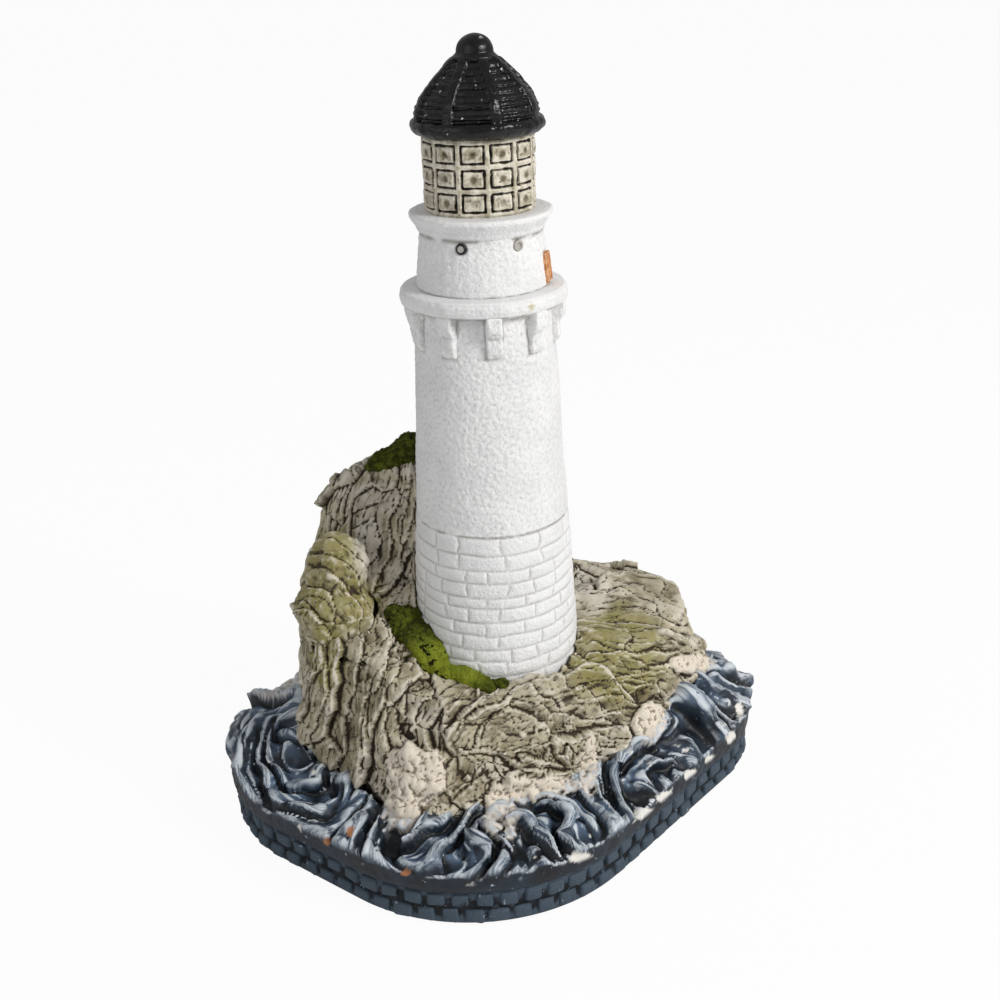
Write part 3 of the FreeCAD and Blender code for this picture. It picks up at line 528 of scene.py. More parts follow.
def shader_group(name, inputs, outputs):
    """A shader group with named inputs and outputs, and its two end nodes."""
    tree = bpy.data.node_groups.new(name, "ShaderNodeTree")
    for label, kind, value in inputs:
        socket = tree.interface.new_socket(label, in_out="INPUT",
                                           socket_type="NodeSocket" + kind)
        if value is not None:
            socket.default_value = value
    for label, kind in outputs:
        tree.interface.new_socket(label, in_out="OUTPUT", socket_type="NodeSocket" + kind)
    return tree, tree.nodes.new("NodeGroupInput"), tree.nodes.new("NodeGroupOutput")


def remap(tree, source, low, high, to_low=0.0, to_high=1.0):
    """A smooth step from low to high."""
    made = node(tree, "ShaderNodeMapRange", interpolation_type="SMOOTHSTEP", in_1=low,
                in_2=high, in_3=to_low, in_4=to_high)
    tree.links.new(source, made.inputs[0])
    return made.outputs[0]


def texture(tree, where, scale, detail=4.0, roughness=0.6):
    """Noise, from 0 to 1."""
    made = node(tree, "ShaderNodeTexNoise")
    made.inputs["Detail"].default_value = detail
    made.inputs["Roughness"].default_value = roughness
    tree.links.new(where, made.inputs["Vector"])
    if isinstance(scale, float):
        made.inputs["Scale"].default_value = scale
    else:
        tree.links.new(scale, made.inputs["Scale"])
    return made.outputs[0]


def blend(tree, factor, a, b):
    """Colour b laid over colour a by a factor."""
    made = node(tree, "ShaderNodeMix", data_type="RGBA", blend_type="MIX")
    for source, socket in ((factor, made.inputs[0]), (a, made.inputs[6]),
                           (b, made.inputs[7])):
        if isinstance(source, (float, tuple)):
            socket.default_value = source
        else:
            tree.links.new(source, socket)
    return made.outputs[2]


def maths(tree, operation, a, b, clamp=False):
    """One sum of two values, each a socket or a number."""
    made = node(tree, "ShaderNodeMath", operation=operation, use_clamp=clamp)
    for source, socket in ((a, made.inputs[0]), (b, made.inputs[1])):
        if isinstance(source, (int, float)):
            socket.default_value = source
        else:
            tree.links.new(source, socket)
    return made.outputs[0]


def wash_and_shade_group():
    """Dark wash that lies in the hollows, partly painted shade, and paint dry-brushed over the
    raised edges, partly a painted highlight.
    """
    tree, given, out = shader_group("wash_and_dry_brush", (
        ("Base", "Color", None), ("Wash", "Color", None), ("Brush", "Color", None),
        ("Relief", "Float", 0.0), ("Vector", "Vector", None), ("Scale", "Float", 300.0),
        ("Wash Reach", "Float", 0.5), ("Brush Reach", "Float", 0.4)), (("Color", "Color"),))
    mottle = texture(tree, given.outputs["Vector"], given.outputs["Scale"])
    shift = maths(tree, "MULTIPLY_ADD", mottle, 0.2)
    shift.node.inputs[2].default_value = -0.1
    uneven = maths(tree, "ADD", given.outputs["Relief"], shift)
    sunk = maths(tree, "MULTIPLY", uneven, -1.0)
    low = maths(tree, "DIVIDE", sunk, given.outputs["Wash Reach"], clamp=True)
    high = maths(tree, "DIVIDE", uneven, given.outputs["Brush Reach"], clamp=True)
    washed = blend(tree, low, given.outputs["Base"], given.outputs["Wash"])
    brushed = blend(tree, remap(tree, high, 0.15, 1.0), washed, given.outputs["Brush"])
    tree.links.new(brushed, out.inputs[0])
    return tree


def speck_group():
    """Small flecks and chips, as a mask."""
    tree, given, out = shader_group("flecks", (
        ("Vector", "Vector", None), ("Scale", "Float", 900.0), ("Amount", "Float", 0.3)),
        (("Mask", "Float"),))
    fine = texture(tree, given.outputs["Vector"], given.outputs["Scale"], 2.0, 0.5)
    broad = texture(tree, given.outputs["Vector"],
                    maths(tree, "MULTIPLY", given.outputs["Scale"], 0.17), 2.0, 0.5)
    both = maths(tree, "MULTIPLY", fine, broad)
    edge = maths(tree, "MULTIPLY_ADD", given.outputs["Amount"], -0.25)
    edge.node.inputs[2].default_value = 0.52
    made = node(tree, "ShaderNodeMapRange", interpolation_type="SMOOTHSTEP")
    tree.links.new(both, made.inputs[0])
    tree.links.new(edge, made.inputs[1])
    tree.links.new(maths(tree, "ADD", edge, 0.03), made.inputs[2])
    tree.links.new(made.outputs[0], out.inputs[0])
    return tree


def grain_group():
    """Fine cast and brushed surface grain, as a normal."""
    tree, given, out = shader_group("cast_grain", (
        ("Vector", "Vector", None), ("Scale", "Float", 1500.0), ("Height", "Float", 0.0002),
        ("Strength", "Float", 0.5)), (("Normal", "Vector"),))
    fine = texture(tree, given.outputs["Vector"], given.outputs["Scale"], 3.0, 0.65)
    height = maths(tree, "MULTIPLY", fine, given.outputs["Height"])
    bump = node(tree, "ShaderNodeBump")
    bump.inputs["Distance"].default_value = 1.0
    tree.links.new(given.outputs["Strength"], bump.inputs["Strength"])
    tree.links.new(height, bump.inputs["Height"])
    tree.links.new(bump.outputs[0], out.inputs[0])
    return tree


def use(tree, group, **inputs):
    """A group in use in a paint; each input is named and is a socket or a value."""
    made = node(tree, "ShaderNodeGroup", node_tree=group)
    for key, value in inputs.items():
        socket = made.inputs[key.replace("_", " ").title()]
        if isinstance(value, (float, tuple)):
            socket.default_value = value
        else:
            tree.links.new(value, socket)
    return made.outputs[0]


def attribute(tree, name, kind="Fac"):
    """What store or store_way kept under a name."""
    return node(tree, "ShaderNodeAttribute", attribute_name=name).outputs[kind]


def stretched(tree, where, across, along):
    """A pair of distances in mm, counted in steps across and along."""
    made = node(tree, "ShaderNodeVectorMath", operation="MULTIPLY")
    made.inputs[1].default_value = (1 / across, 1 / along, 0.0)
    tree.links.new(where, made.inputs[0])
    return made.outputs[0]


def crack_group():
    """Thin broken cracks between long cells, two sizes of them, as a mask."""
    tree, given, out = shader_group("cracks_along_the_beds", (
        ("Way", "Vector", None), ("Reach", "Float", 0.06)), (("Mask", "Float"),))
    total = None
    for across, along, share in ((5.0, 24.0, 1.0), (2.2, 15.0, 0.7)):
        bent = node(tree, "ShaderNodeTexNoise")
        tree.links.new(stretched(tree, given.outputs["Way"], 5.0, 9.0), bent.inputs["Vector"])
        scaled = stretched(tree, given.outputs["Way"], across, along)
        moved = node(tree, "ShaderNodeVectorMath", operation="MULTIPLY_ADD")
        moved.inputs[1].default_value = (1.1, 0.5, 0.0)
        tree.links.new(bent.outputs["Color"], moved.inputs[0])
        tree.links.new(scaled, moved.inputs[2])
        split = node(tree, "ShaderNodeTexVoronoi", feature="DISTANCE_TO_EDGE",
                     voronoi_dimensions="2D")
        split.inputs["Scale"].default_value = 1.0
        tree.links.new(moved.outputs[0], split.inputs["Vector"])
        line = maths(tree, "DIVIDE", split.outputs["Distance"], given.outputs["Reach"])
        line = remap(tree, line, 0.0, 1.0, 1.0, 0.0)
        broken = remap(tree, texture(tree, stretched(tree, given.outputs["Way"], 6.0, 6.0),
                                     1.0, 2.0), 0.53, 0.66, 0.0, share)
        mask = maths(tree, "MULTIPLY", line, broken)
        total = mask if total is None else maths(tree, "MAXIMUM", total, mask)
    tree.links.new(total, out.inputs[0])
    return tree


def streak_group():
    """Dry brush strokes that follow the strands and catch only what stands proud."""
    tree, given, out = shader_group("strokes_along_the_strands", (
        ("Way", "Vector", None), ("Relief", "Float", 0.0)), (("Mask", "Float"),))
    thin = texture(tree, stretched(tree, given.outputs["Way"], 1.2, 9.0), 1.0, 4.0, 0.7)
    lines = remap(tree, thin, 0.36, 0.58)
    proud = remap(tree, given.outputs["Relief"], 0.08, 0.5)
    tree.links.new(maths(tree, "MULTIPLY", lines, proud), out.inputs[0])
    return tree


class Paint:
    """A paint under construction: a Principled shader, the Object coordinates and helpers."""

    def __init__(self, name, roughness, specular):
        self.material = bpy.data.materials.new(name)
        self.material.use_nodes = True
        self.tree = self.material.node_tree
        self.shader = self.tree.nodes["Principled BSDF"]
        self.shader.inputs["Roughness"].default_value = roughness
        self.shader.inputs["Specular IOR Level"].default_value = specular
        self.where = node(self.tree, "ShaderNodeTexCoord").outputs["Object"]

    def colour(self, source):
        self.tree.links.new(source, self.shader.inputs["Base Color"])

    def grain(self, scale, height, strength=0.6):
        self.tree.links.new(use(self.tree, GRAIN, vector=self.where, scale=scale,
                                height=height, strength=strength),
                            self.shader.inputs["Normal"])

    def creased(self, mask, depth):
        """Sink the surface where a mask is, over the grain."""
        bump = node(self.tree, "ShaderNodeBump", invert=True)
        bump.inputs["Distance"].default_value = depth
        self.tree.links.new(mask, bump.inputs["Height"])
        self.tree.links.new(self.shader.inputs["Normal"].links[0].from_socket,
                            bump.inputs["Normal"])
        self.tree.links.new(bump.outputs[0], self.shader.inputs["Normal"])

    # Dark wash in the hollows, partly painted shade, and light dry brush on the raised edges,
    # partly a painted highlight.
    def wash(self, base, wash, brush, scale, wash_reach, brush_reach):
        return use(self.tree, WASH_AND_SHADE, base=base, wash=wash, brush=brush,
                   relief=attribute(self.tree, "relief"), vector=self.where, scale=scale,
                   wash_reach=wash_reach, brush_reach=brush_reach)

    def flecks(self, colour, under, scale, amount):
        mask = use(self.tree, FLECKS, vector=self.where, scale=scale, amount=amount)
        return blend(self.tree, mask, under, colour)

    def mottled(self, a, b, scale, low=0.35, high=0.65):
        return blend(self.tree, remap(self.tree, texture(self.tree, self.where, scale),
                                      low, high), a, b)

    def tinted(self, name, under, colour, strength=1.0):
        mask = maths(self.tree, "MULTIPLY", attribute(self.tree, name), strength, clamp=True)
        return blend(self.tree, mask, under, colour)


def rgb(text):
    """A colour from its six hex digits, as linear numbers."""
    parts = [int(text[i:i + 2], 16) / 255 for i in (0, 2, 4)]
    return tuple(c / 12.92 if c <= 0.04045 else ((c + 0.055) / 1.055) ** 2.4
                 for c in parts) + (1.0,)


RING = ring_tree()
WALL = wall_tree()
FLOCK = flock_tree()
WASH_AND_SHADE = wash_and_shade_group()
FLECKS = speck_group()
GRAIN = grain_group()
CRACKS = crack_group()
STREAKS = streak_group()


def rock_paint():
    """Taupe stone, olive and pale in places, with dark cracks, cream foam and a wet foot."""
    paint = Paint("rock_paint", 0.75, 0.25)
    taupe = paint.mottled(rgb("8f856c"), rgb("bdb49b"), 110.0, 0.4, 0.6)
    taupe = blend(paint.tree, remap(paint.tree, texture(paint.tree, paint.where, 45.0),
                                    0.5, 0.62), taupe, rgb("cfc6b4"))
    base = paint.tinted("olive", taupe, rgb("938b52"), 0.85)
    base = paint.tinted("pale", base, rgb("dcd5c9"), 0.9)
    base = paint.tinted("foam", base, rgb("f1e4d3"), 1.0)
    # dark wash in the hollows, partly painted shade, and light brush on the crests, partly a
    # painted highlight
    colour = paint.wash(base, rgb("40372a"), rgb("ddd6c6"), 420.0, 0.55, 1.1)
    cracks = use(paint.tree, CRACKS, way=attribute(paint.tree, "way", "Vector"), reach=0.085)
    bare = maths(paint.tree, "SUBTRACT", 1.0, attribute(paint.tree, "foam"), clamp=True)
    cracks = maths(paint.tree, "MULTIPLY", cracks, bare)
    colour = blend(paint.tree, maths(paint.tree, "MULTIPLY", cracks, 0.7), colour,
                   rgb("33291e"))
    colour = paint.tinted("foam", colour, rgb("efe3d2"), 0.35)
    colour = paint.tinted("wet", colour, rgb("1b2430"), 0.85)
    paint.colour(paint.flecks(rgb("efe9dc"), colour, 1100.0, 0.1))
    paint.grain(1500.0, 0.0004)
    paint.creased(cracks, 0.0006)
    return paint.material


def sea_paint():
    """Navy water, lighter blue in places, with white strokes on the crests."""
    paint = Paint("sea_paint", 0.42, 0.45)
    level = attribute(paint.tree, "level")
    navy = paint.mottled(rgb("0a1119"), rgb("1c2a38"), 60.0)
    blue = maths(paint.tree, "MULTIPLY", attribute(paint.tree, "blue"), level)
    base = blend(paint.tree, blue, navy, rgb("5b6f88"))
    base = paint.tinted("foam", base, rgb("e9e0d6"), 1.0)
    # near-black wash in the hollows, partly painted shade, and lighter blue brush on the crests,
    # partly a painted highlight
    colour = paint.wash(base, rgb("05080d"), rgb("44576e"), 420.0, 0.8, 1.6)
    strokes = use(paint.tree, STREAKS, way=attribute(paint.tree, "way", "Vector"),
                  relief=attribute(paint.tree, "relief"))
    strokes = maths(paint.tree, "MULTIPLY", strokes, level)
    colour = blend(paint.tree, strokes, colour, rgb("d3dbe2"))
    colour = paint.tinted("chip", colour, rgb("f2efe8"), 1.0)
    colour = paint.tinted("rust", colour, rgb("b87a4c"), 0.9)
    paint.colour(paint.flecks(rgb("b3c0cd"), colour, 1000.0, 0.42))
    paint.grain(1500.0, 0.0004)
    return paint.material


def white_paint():
    """Thick white paint with a few grey flecks, grey in the hollows of its grain and in the
    corners between the pieces as painted shade.
    """
    paint = Paint("white_paint", 0.6, 0.35)
    white = paint.mottled(rgb("ececed"), rgb("f6f6f6"), 60.0)
    base = paint.tinted("stain", white, rgb("b9ab6b"), 0.8)
    # the grey wash in the hollows of the grain is painted shade, the near-white brush on the
    # raised grain a painted highlight
    colour = paint.wash(base, rgb("b5b2ae"), rgb("f8f7f6"), 200.0, 1.4, 0.8)
    # painted shade: grey in the corners between the tower's pieces and round the corbels
    colour = paint.tinted("grime", colour, rgb("8f8a80"), 0.8)
    paint.colour(paint.flecks(rgb("d8d4cc"), colour, 500.0, 0.05))
    paint.grain(900.0, 0.0008, 0.8)
    return paint.material


def lantern_paint():
    """Ivory panes with dark lines round them, a brown dot in the upper ones, and painted shade
    along the foot and under the roof.
    """
    paint = Paint("lantern_paint", 0.5, 0.4)
    ivory = paint.mottled(rgb("b3aa92"), rgb("e2dbca"), 260.0, 0.4, 0.6)
    base = paint.tinted("dot", ivory, rgb("574c28"), 0.9)
    # dark lines round the panes, with painted shade along the lantern's foot and under the roof
    base = paint.tinted("line", base, rgb("1a150e"), 1.0)
    # the dark wash in the hollows is partly painted shade, the light brush on the bars partly a
    # painted highlight
    colour = paint.wash(base, rgb("17120c"), rgb("efe9da"), 500.0, 0.45, 1.0)
    paint.colour(paint.flecks(rgb("4a4230"), colour, 700.0, 0.3))
    paint.grain(2200.0, 0.0003)
    return paint.material


def roof_paint():
    """Glossy black with a few chips."""
    paint = Paint("roof_paint", 0.2, 0.42)
    black = paint.mottled(rgb("050506"), rgb("0d0e10"), 300.0)
    # black wash in the hollows, partly painted shade, and dark grey brush on the rings, partly a
    # painted highlight
    colour = paint.wash(black, rgb("010101"), rgb("1b1d20"), 700.0, 0.5, 1.6)
    colour = paint.flecks(rgb("55534f"), colour, 1300.0, 0.06)
    paint.colour(paint.tinted("chip", colour, rgb("e9e6e0"), 1.0))
    paint.grain(1600.0, 0.0002)
    return paint.material


def turf_flock():
    """Moss green granules, lighter where the sun catches them."""
    paint = Paint("turf", 0.95, 0.1)
    green = paint.mottled(rgb("2f3312"), rgb("5d6320"), 500.0, 0.35, 0.65)
    colour = paint.tinted("sunlit", green, rgb("8f9a30"), 0.65)
    paint.colour(paint.flecks(rgb("1a1d0a"), colour, 450.0, 0.7))
    paint.grain(2500.0, 0.0005)
    return paint.material


def felt():
    """Dark green felt."""
    paint = Paint("felt", 0.97, 0.05)
    paint.colour(paint.mottled(rgb("12301a"), rgb("1d4526"), 1500.0))
    paint.shader.inputs["Sheen Weight"].default_value = 0.3
    paint.grain(3000.0, 0.0004)
    return paint.material


def cobble_paint():
    """Navy brushed with grey, over dark joints."""
    paint = Paint("cobble_paint", 0.55, 0.35)
    navy = paint.mottled(rgb("06090d"), rgb("111a24"), 200.0, 0.4, 0.6)
    # black wash in the joints and hollows, partly painted shade, and grey brush on the cobbles'
    # faces, partly a painted highlight
    colour = paint.wash(navy, rgb("030506"), rgb("4c5c6b"), 900.0, 0.7, 1.4)
    paint.colour(paint.flecks(rgb("98a5b3"), colour, 1000.0, 0.42))
    paint.grain(1300.0, 0.0006)
    return paint.material


def porthole_paint():
    """A black ring round a pale pane, or worn pale all over."""
    paint = Paint("porthole_paint", 0.4, 0.4)
    ring = paint.mottled(rgb("0c0c0d"), rgb("1c1c1e"), 900.0)
    colour = paint.tinted("pane", ring, rgb("d9d6cf"), 1.0)
    paint.colour(paint.tinted("worn", colour, rgb("b5b2aa"), 1.0))
    paint.grain(2500.0, 0.0001)
    return paint.material


def door_paint():
    """Orange planks, dark between them, partly as painted shade, and light on the raised edges,
    partly as a painted highlight.
    """
    paint = Paint("door_paint", 0.6, 0.3)
    orange = paint.mottled(rgb("b97440"), rgb("e0ab7c"), 600.0, 0.4, 0.6)
    # dark wash between the planks, partly painted shade, and light brush on the edges, partly a
    # painted highlight
    paint.colour(paint.wash(orange, rgb("7d4420"), rgb("f1d7bb"), 700.0, 0.5, 0.6))
    paint.grain(2000.0, 0.0002)
    return paint.material


# --- rock, sea and turf -------------------------------------------------------------------

def show(obj, paint, slot, *nodes):
    """Give a finished piece its paint and its body, and let it stand for its CAD nodes."""
    obj.data.materials.clear()
    obj.data.materials.append(paint)
    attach(obj, "root")
    if nodes:
        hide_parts(*nodes)
    return obj


def rock_beds(p):
    """Distances across and along the rock's layers, in mm: bows round the tower's foot at the
    front and right, upright ridges at the left, and level beds at the back."""
    px, py = photo(stir(p, 18.0, 4.0, 11))
    degrees, radius = azimuth(p)
    ragged = lumps(p, 9.0, 10)
    dx, dy = (px - BEDS_CENTRE[0]) * 0.62, py - BEDS_CENTRE[1]
    q = stir(p, 15.0, 3.0, 12)
    back = (degrees + 12 * ragged > 118) | (degrees + 12 * ragged < -128)
    left = px + 14 * ragged < RIDGES_LEFT_OF
    across = np.where(left, (px + 0.2 * py) / PX_PER_MM, np.hypot(dx, dy) / PX_PER_MM)
    along = np.where(left, py / PX_PER_MM, np.arctan2(dx, -dy) * 48.0)
    return (np.where(back, q[:, 2] + 0.1 * q[:, 0], across),
            np.where(back, radius * np.radians(degrees), along))


def rock_relief(p, across, along):
    """Long split slabs of two sizes, tilted the same way like shingles."""
    total = 1.6 * lumps(p, 15.0, 80) + 0.35 * rubble(p, 5.0, 3, 81)
    for wide, long, rise, tilt, deep, seed in ((12.0, 28.0, 1.5, 2.0, 0.4, 40),
                                               (5.2, 15.0, 0.7, 1.0, 0.3, 61),
                                               (2.2, 9.0, 0.2, 0.3, 0.25, 75)):
        bend = lumps(p, 1.6 * wide, seed + 3)
        gap, own, offset = cells(across / wide + 0.5 * bend, along / long + 0.4 * bend, seed)
        total += rise * own + tilt * offset - deep * np.exp(-(gap / 0.16) ** 2)
    return total


def rock_zones(obj, p):
    """Where the rock is olive, pale, under foam or wet."""
    px, py = photo(p)
    ragged = 0.5 * rubble(p, 6.0, 3, 91)
    olive = patch(px, py, *OLIVE_ROCK)
    pale = patch(px, py, *PALE_ROCK)
    store(obj, "olive", np.clip(olive + ragged * olive, 0, 1))
    store(obj, "pale", np.clip(pale * (0.8 + ragged), 0, 1))
    store(obj, "foam", foam_mask(p))
    store(obj, "wet", ease(29.0, 21.0, p[:, 2] + 5 * ragged))


def foam_mask(p):
    """Foam thrown up where the waves break on the foot of the rock."""
    px, py = photo(p)
    front = ease(60.0, 30.0, p[:, 1])
    ragged = 0.45 * rubble(p, 5.0, 4, 95)
    return ease(0.4, 0.6, patch(px, py, *FOAM) + ragged) * front


def foamy(p, height):
    """Grainy lumps where the foam lies."""
    foam = foam_mask(p)
    near, _ = grains(p, 2.4, 13)
    small, _ = grains(p, 1.3, 15)
    lump = 1.4 + 1.5 * (0.6 - near) + 1.2 * (0.5 - small) + 1.6 * rubble(p, 6.0, 3, 14)
    return height * (1 - foam) + foam * lump


def rocks(paint):
    """Crag and cliff."""
    for name in ("crag", "cliff"):
        obj = dense(name, name + "_carved", 0.8, 10)
        p = points_of(obj)
        across, along = rock_beds(p)
        raise_by(obj, foamy(p, rock_relief(p, across, along)))
        store_way(obj, "way", across, along)
        store_relief(obj, 2, 9, 1.1)
        rock_zones(obj, points_of(obj))
        show(obj, paint, "rock_paint", name)


def boulders(paint):
    """Two boulders with beds that bow over each of them."""
    obj = dense("boulders", "boulders_carved", 0.7, 6)
    p = points_of(obj)
    px, py = photo(stir(p, 9.0, 2.4, 3))
    upper = p[:, 2] > UPPER_BOULDER_FOOT
    dx = (px - np.where(upper, UPPER_BOULDER[0], LOWER_BOULDER[0])) / 2.6
    dy = (py - np.where(upper, UPPER_BOULDER[1], LOWER_BOULDER[1])) / 3.0
    across, along = np.hypot(dx, dy), np.arctan2(dx, -dy) * 24.0
    gap, own, offset = cells(across / 5.0, along / 22.0, 4)
    raise_by(obj, 0.5 * own + 0.6 * offset - 0.5 * np.exp(-(gap / 0.15) ** 2)
             + 1.6 * rubble(p, 8.0, 4, 4))
    store_way(obj, "way", across, along)
    store_relief(obj, 2, 9, 1.3)
    rock_zones(obj, points_of(obj))
    show(obj, paint, "rock_paint", "boulders")


# Eddies in the sea, in mm from the tower's axis: place, reach and turn in radians.
EDDIES = (
    (-78, -8, 15, 2.0), (-62, -40, 16, -1.8), (-80, 22, 15, 1.7), (-38, -62, 16, 2.0),
    (-8, -74, 14, -1.8), (22, -68, 16, 2.0), (50, -52, 15, -1.9), (76, -30, 16, 1.9),
    (90, 0, 15, -1.8), (82, 30, 15, 1.8), (52, 54, 15, -1.8), (16, 70, 15, 1.8),
    (-24, 70, 15, -1.8), (-60, 54, 15, 1.8),
)


def sea_flow(p):
    """Distances across and along the strands of water, wound up round the eddies."""
    q = stir(p, 20.0, 3.0, 21)
    x = q[:, 0] - AXIS_X
    y = q[:, 1] - AXIS_Y
    for ex, ey, reach, turn in EDDIES:
        dx, dy = x - ex, y - ey
        angle = turn * np.exp(-(dx * dx + dy * dy) / reach ** 2)
        x = ex + dx * np.cos(angle) - dy * np.sin(angle)
        y = ey + dx * np.sin(angle) + dy * np.cos(angle)
    along = 75.0 * np.arctan2(x, -y)
    return np.hypot(x, y) + 0.35 * (p[:, 2] - RIM) + 0.12 * along, along


def sea_relief(p, across, along):
    """Leaf-shaped waves, each steep on one side, with smaller strands on them."""
    total = 0.3 * rubble(p, 3.0, 2, 26)
    for wide, long, high, seed in ((13.0, 26.0, 7.4, 23), (5.0, 20.0, 1.5, 24)):
        gap, own, offset = cells(across / wide, along / long, seed)
        total += high * (1 + 0.35 * own) * ((offset + 0.55).clip(0, 1) ** 1.4
                                            * ease(0.0, 0.22, gap))
    return total


def sea():
    """Waves on the ring of water, rough cast on its side down to the lip."""
    obj = dense("sea", "sea_carved", 0.85, 5)
    p = points_of(obj)
    n = normals_of(obj)
    across, along = sea_flow(p)
    top = ease(RIM - 3.5, RIM + 0.5, p[:, 2]) * ease(0.1, 0.6, n[:, 2])
    side = 0.3 * rubble(p, 3.0, 3, 27) * ease(LIP_FOOT + 1.0, LIP_FOOT + 3.0, p[:, 2])
    raise_by(obj, foamy(p, top * (sea_relief(p, across, along) - 1.8) + (1 - top) * side))
    set_points(obj, smoothed(obj, points_of(obj), 1))
    store_way(obj, "way", across, along)
    store_relief(obj, 2, 14, 1.0)
    sea_zones(obj, points_of(obj))
    show(obj, sea_paint(), "sea_paint", "sea")


def sea_zones(obj, p):
    """Where the sea is level, under foam, light blue, chipped at the rim or rusty."""
    px, py = photo(p)
    on_top = ease(RIM - 2.0, RIM + 1.0, p[:, 2])
    store(obj, "level", ease(0.1, 0.6, normals_of(obj)[:, 2]))
    store(obj, "foam", foam_mask(p) * on_top)
    blue = patch(px, py, *BLUE_WATER)
    store(obj, "blue", np.clip(0.15 + 0.8 * blue + 0.6 * rubble(p, 9.0, 3, 28), 0, 1) * on_top)
    chip = patch(px, py, *RIM_CHIPS)
    store(obj, "chip", ease(0.55, 0.7, chip + 0.6 * rubble(p, 3.5, 4, 29))
          * ease(RIM - 4.5, RIM - 2.5, p[:, 2]))
    rust = patch(px, py, *RUST_SPOTS)
    store(obj, "rust", ease(0.5, 0.7, rust + 0.3 * rubble(p, 2.0, 3, 30)))


def foot_turf_region(p, n):
    """A crescent on the rock round the tower's foot, widest at its front left."""
    degrees, radius = azimuth(p)
    width = 5.0 + 5.5 * np.exp(-((degrees + 68) / 34) ** 2) + lumps(p, 3.0, 33)
    return ((n[:, 2] > -0.6) & (degrees > -122) & (degrees < 6)
            & (radius < MASONRY_RADIUS + width) & (p[:, 2] > 45) & (p[:, 2] < 84))


def cliff_turf_region(p, n):
    """The crest of the cliff, and a little of its back."""
    degrees, radius = azimuth(p)
    px, py = photo(p)
    ragged = lumps(p, 3.0, 33)
    edge_x, edge_y = CLIFF_TURF_EDGE
    return ((n[:, 2] > 0.1) & (p[:, 2] > 113) & (radius < 52 + 2 * ragged) & (degrees < -95)
            & ((n[:, 1] > 0.1) | (py < edge_y - 0.27 * (px - edge_x) + 3 * ragged)))


def turf_mat(name, skins, region):
    """A thick mat over the part of some skins that a region chooses."""
    points = np.concatenate([points_of(skin) for skin in skins])
    normals = np.concatenate([normals_of(skin) for skin in skins])
    chosen = region(points, normals)
    bm = bmesh.new()
    for skin in skins:
        bm.from_mesh(skin.data)
    bm.verts.ensure_lookup_table()
    bmesh.ops.delete(bm, geom=[v for v, keep in zip(bm.verts, chosen) if not keep],
                     context="VERTS")
    bmesh.ops.holes_fill(bm, edges=bm.edges[:], sides=60)
    mat = add(name + "_mat", bpy.data.meshes.new(name + "_mat"))
    bm.to_mesh(mat.data)
    bm.free()
    set_points(mat, smoothed(mat, points_of(mat), 4))
    thick = mat.modifiers.new("thick", "SOLIDIFY")
    thick.thickness = TURF_THICKNESS * MM
    thick.offset = 0.0
    return recast(mat, name + "_skin", 0.5, 12)


def turf_patches():
    """Flock over parts of the rock's skin."""
    paint = turf_flock()
    for name, rock, region in (("foot_turf", ("crag", "cliff"), foot_turf_region),
                               ("cliff_turf", ("cliff",), cliff_turf_region)):
        obj = turf_mat(name, [bpy.data.objects[part + "_carved"] for part in rock], region)
        raise_by(obj, 1.4 + 0.5 * rubble(points_of(obj), 2.5, 3, 34))
        host = add(name + "_host", obj.data.copy())
        flock = grow(FLOCK, host, name + "_flock", density=1.1 / MM ** 2,
                     granule=0.42 * MM, seed=5, paint=paint)
        whole = join(name + "_flocked", [obj, flock])
        px, py = photo(points_of(whole))
        sunlit = patch(px, py, SUNLIT_TURF) if name == "foot_turf" else 0 * px
        store(whole, "sunlit", sunlit)
        show(whole, paint, "turf", name)


# --- plinth -------------------------------------------------------------------------------

# The base's plan is a belt round four circles: centre and radius of each.
BELT_CIRCLES = ((-8.0, -12.45, 69.0), (56.75, 26.6, 46.0), (-5.0, 6.45, 75.0),
                (-44.75, 2.0, 58.0))


def belt(inset, steps):
    """Points in even steps round the base's plan, moved in by an inset."""
    turn = 2 * math.pi * np.arange(0, 3600, 4) / 3600
    bm = bmesh.new()
    for x, y, r in BELT_CIRCLES:
        for c, d in zip(x + (r - inset) * np.cos(turn), y + (r - inset) * np.sin(turn)):
            bm.verts.new((c, d, 0))
    bmesh.ops.convex_hull(bm, input=bm.verts)
    rim = [v for v in bm.verts if v.link_faces]
    plan = np.array([(v.co.x, v.co.y) for v in rim])
    bm.free()
    centre = plan.mean(0)
    order = np.argsort(np.arctan2(plan[:, 1] - centre[1], plan[:, 0] - centre[0]))
    plan = plan[order]
    closed = np.concatenate([plan, plan[:1]])
    run = np.concatenate([[0], np.cumsum(np.linalg.norm(np.diff(closed, axis=0), axis=1))])
    at = np.linspace(0, run[-1], steps, endpoint=False)
    return np.stack([np.interp(at, run, closed[:, 0]), np.interp(at, run, closed[:, 1])], 1)


def outline_curve(name, plan, height, shift):
    """A closed curve round a plan, started some points further on."""
    curve = bpy.data.curves.new(name, "CURVE")
    curve.dimensions = "3D"
    spline = curve.splines.new("POLY")
    spline.points.add(len(plan) - 1)
    for point, (x, y) in zip(spline.points, np.roll(plan, shift, axis=0)):
        point.co = (x * MM, y * MM, height * MM, 1)
    spline.use_cyclic_u = True
    return add(name, curve)


def cobble():
    """One worn cobble, its length along X and its face towards -Y."""
    stone = block("cobble", 6.9, 2.8, 5.3, 0.0, 0.0, 0.0)
    p = points_of(stone)
    p[p[:, 1] < 0] *= [0.86, 0.8, 0.84]
    set_points(stone, p)
    return round_edges(stone, 0.9, 2)


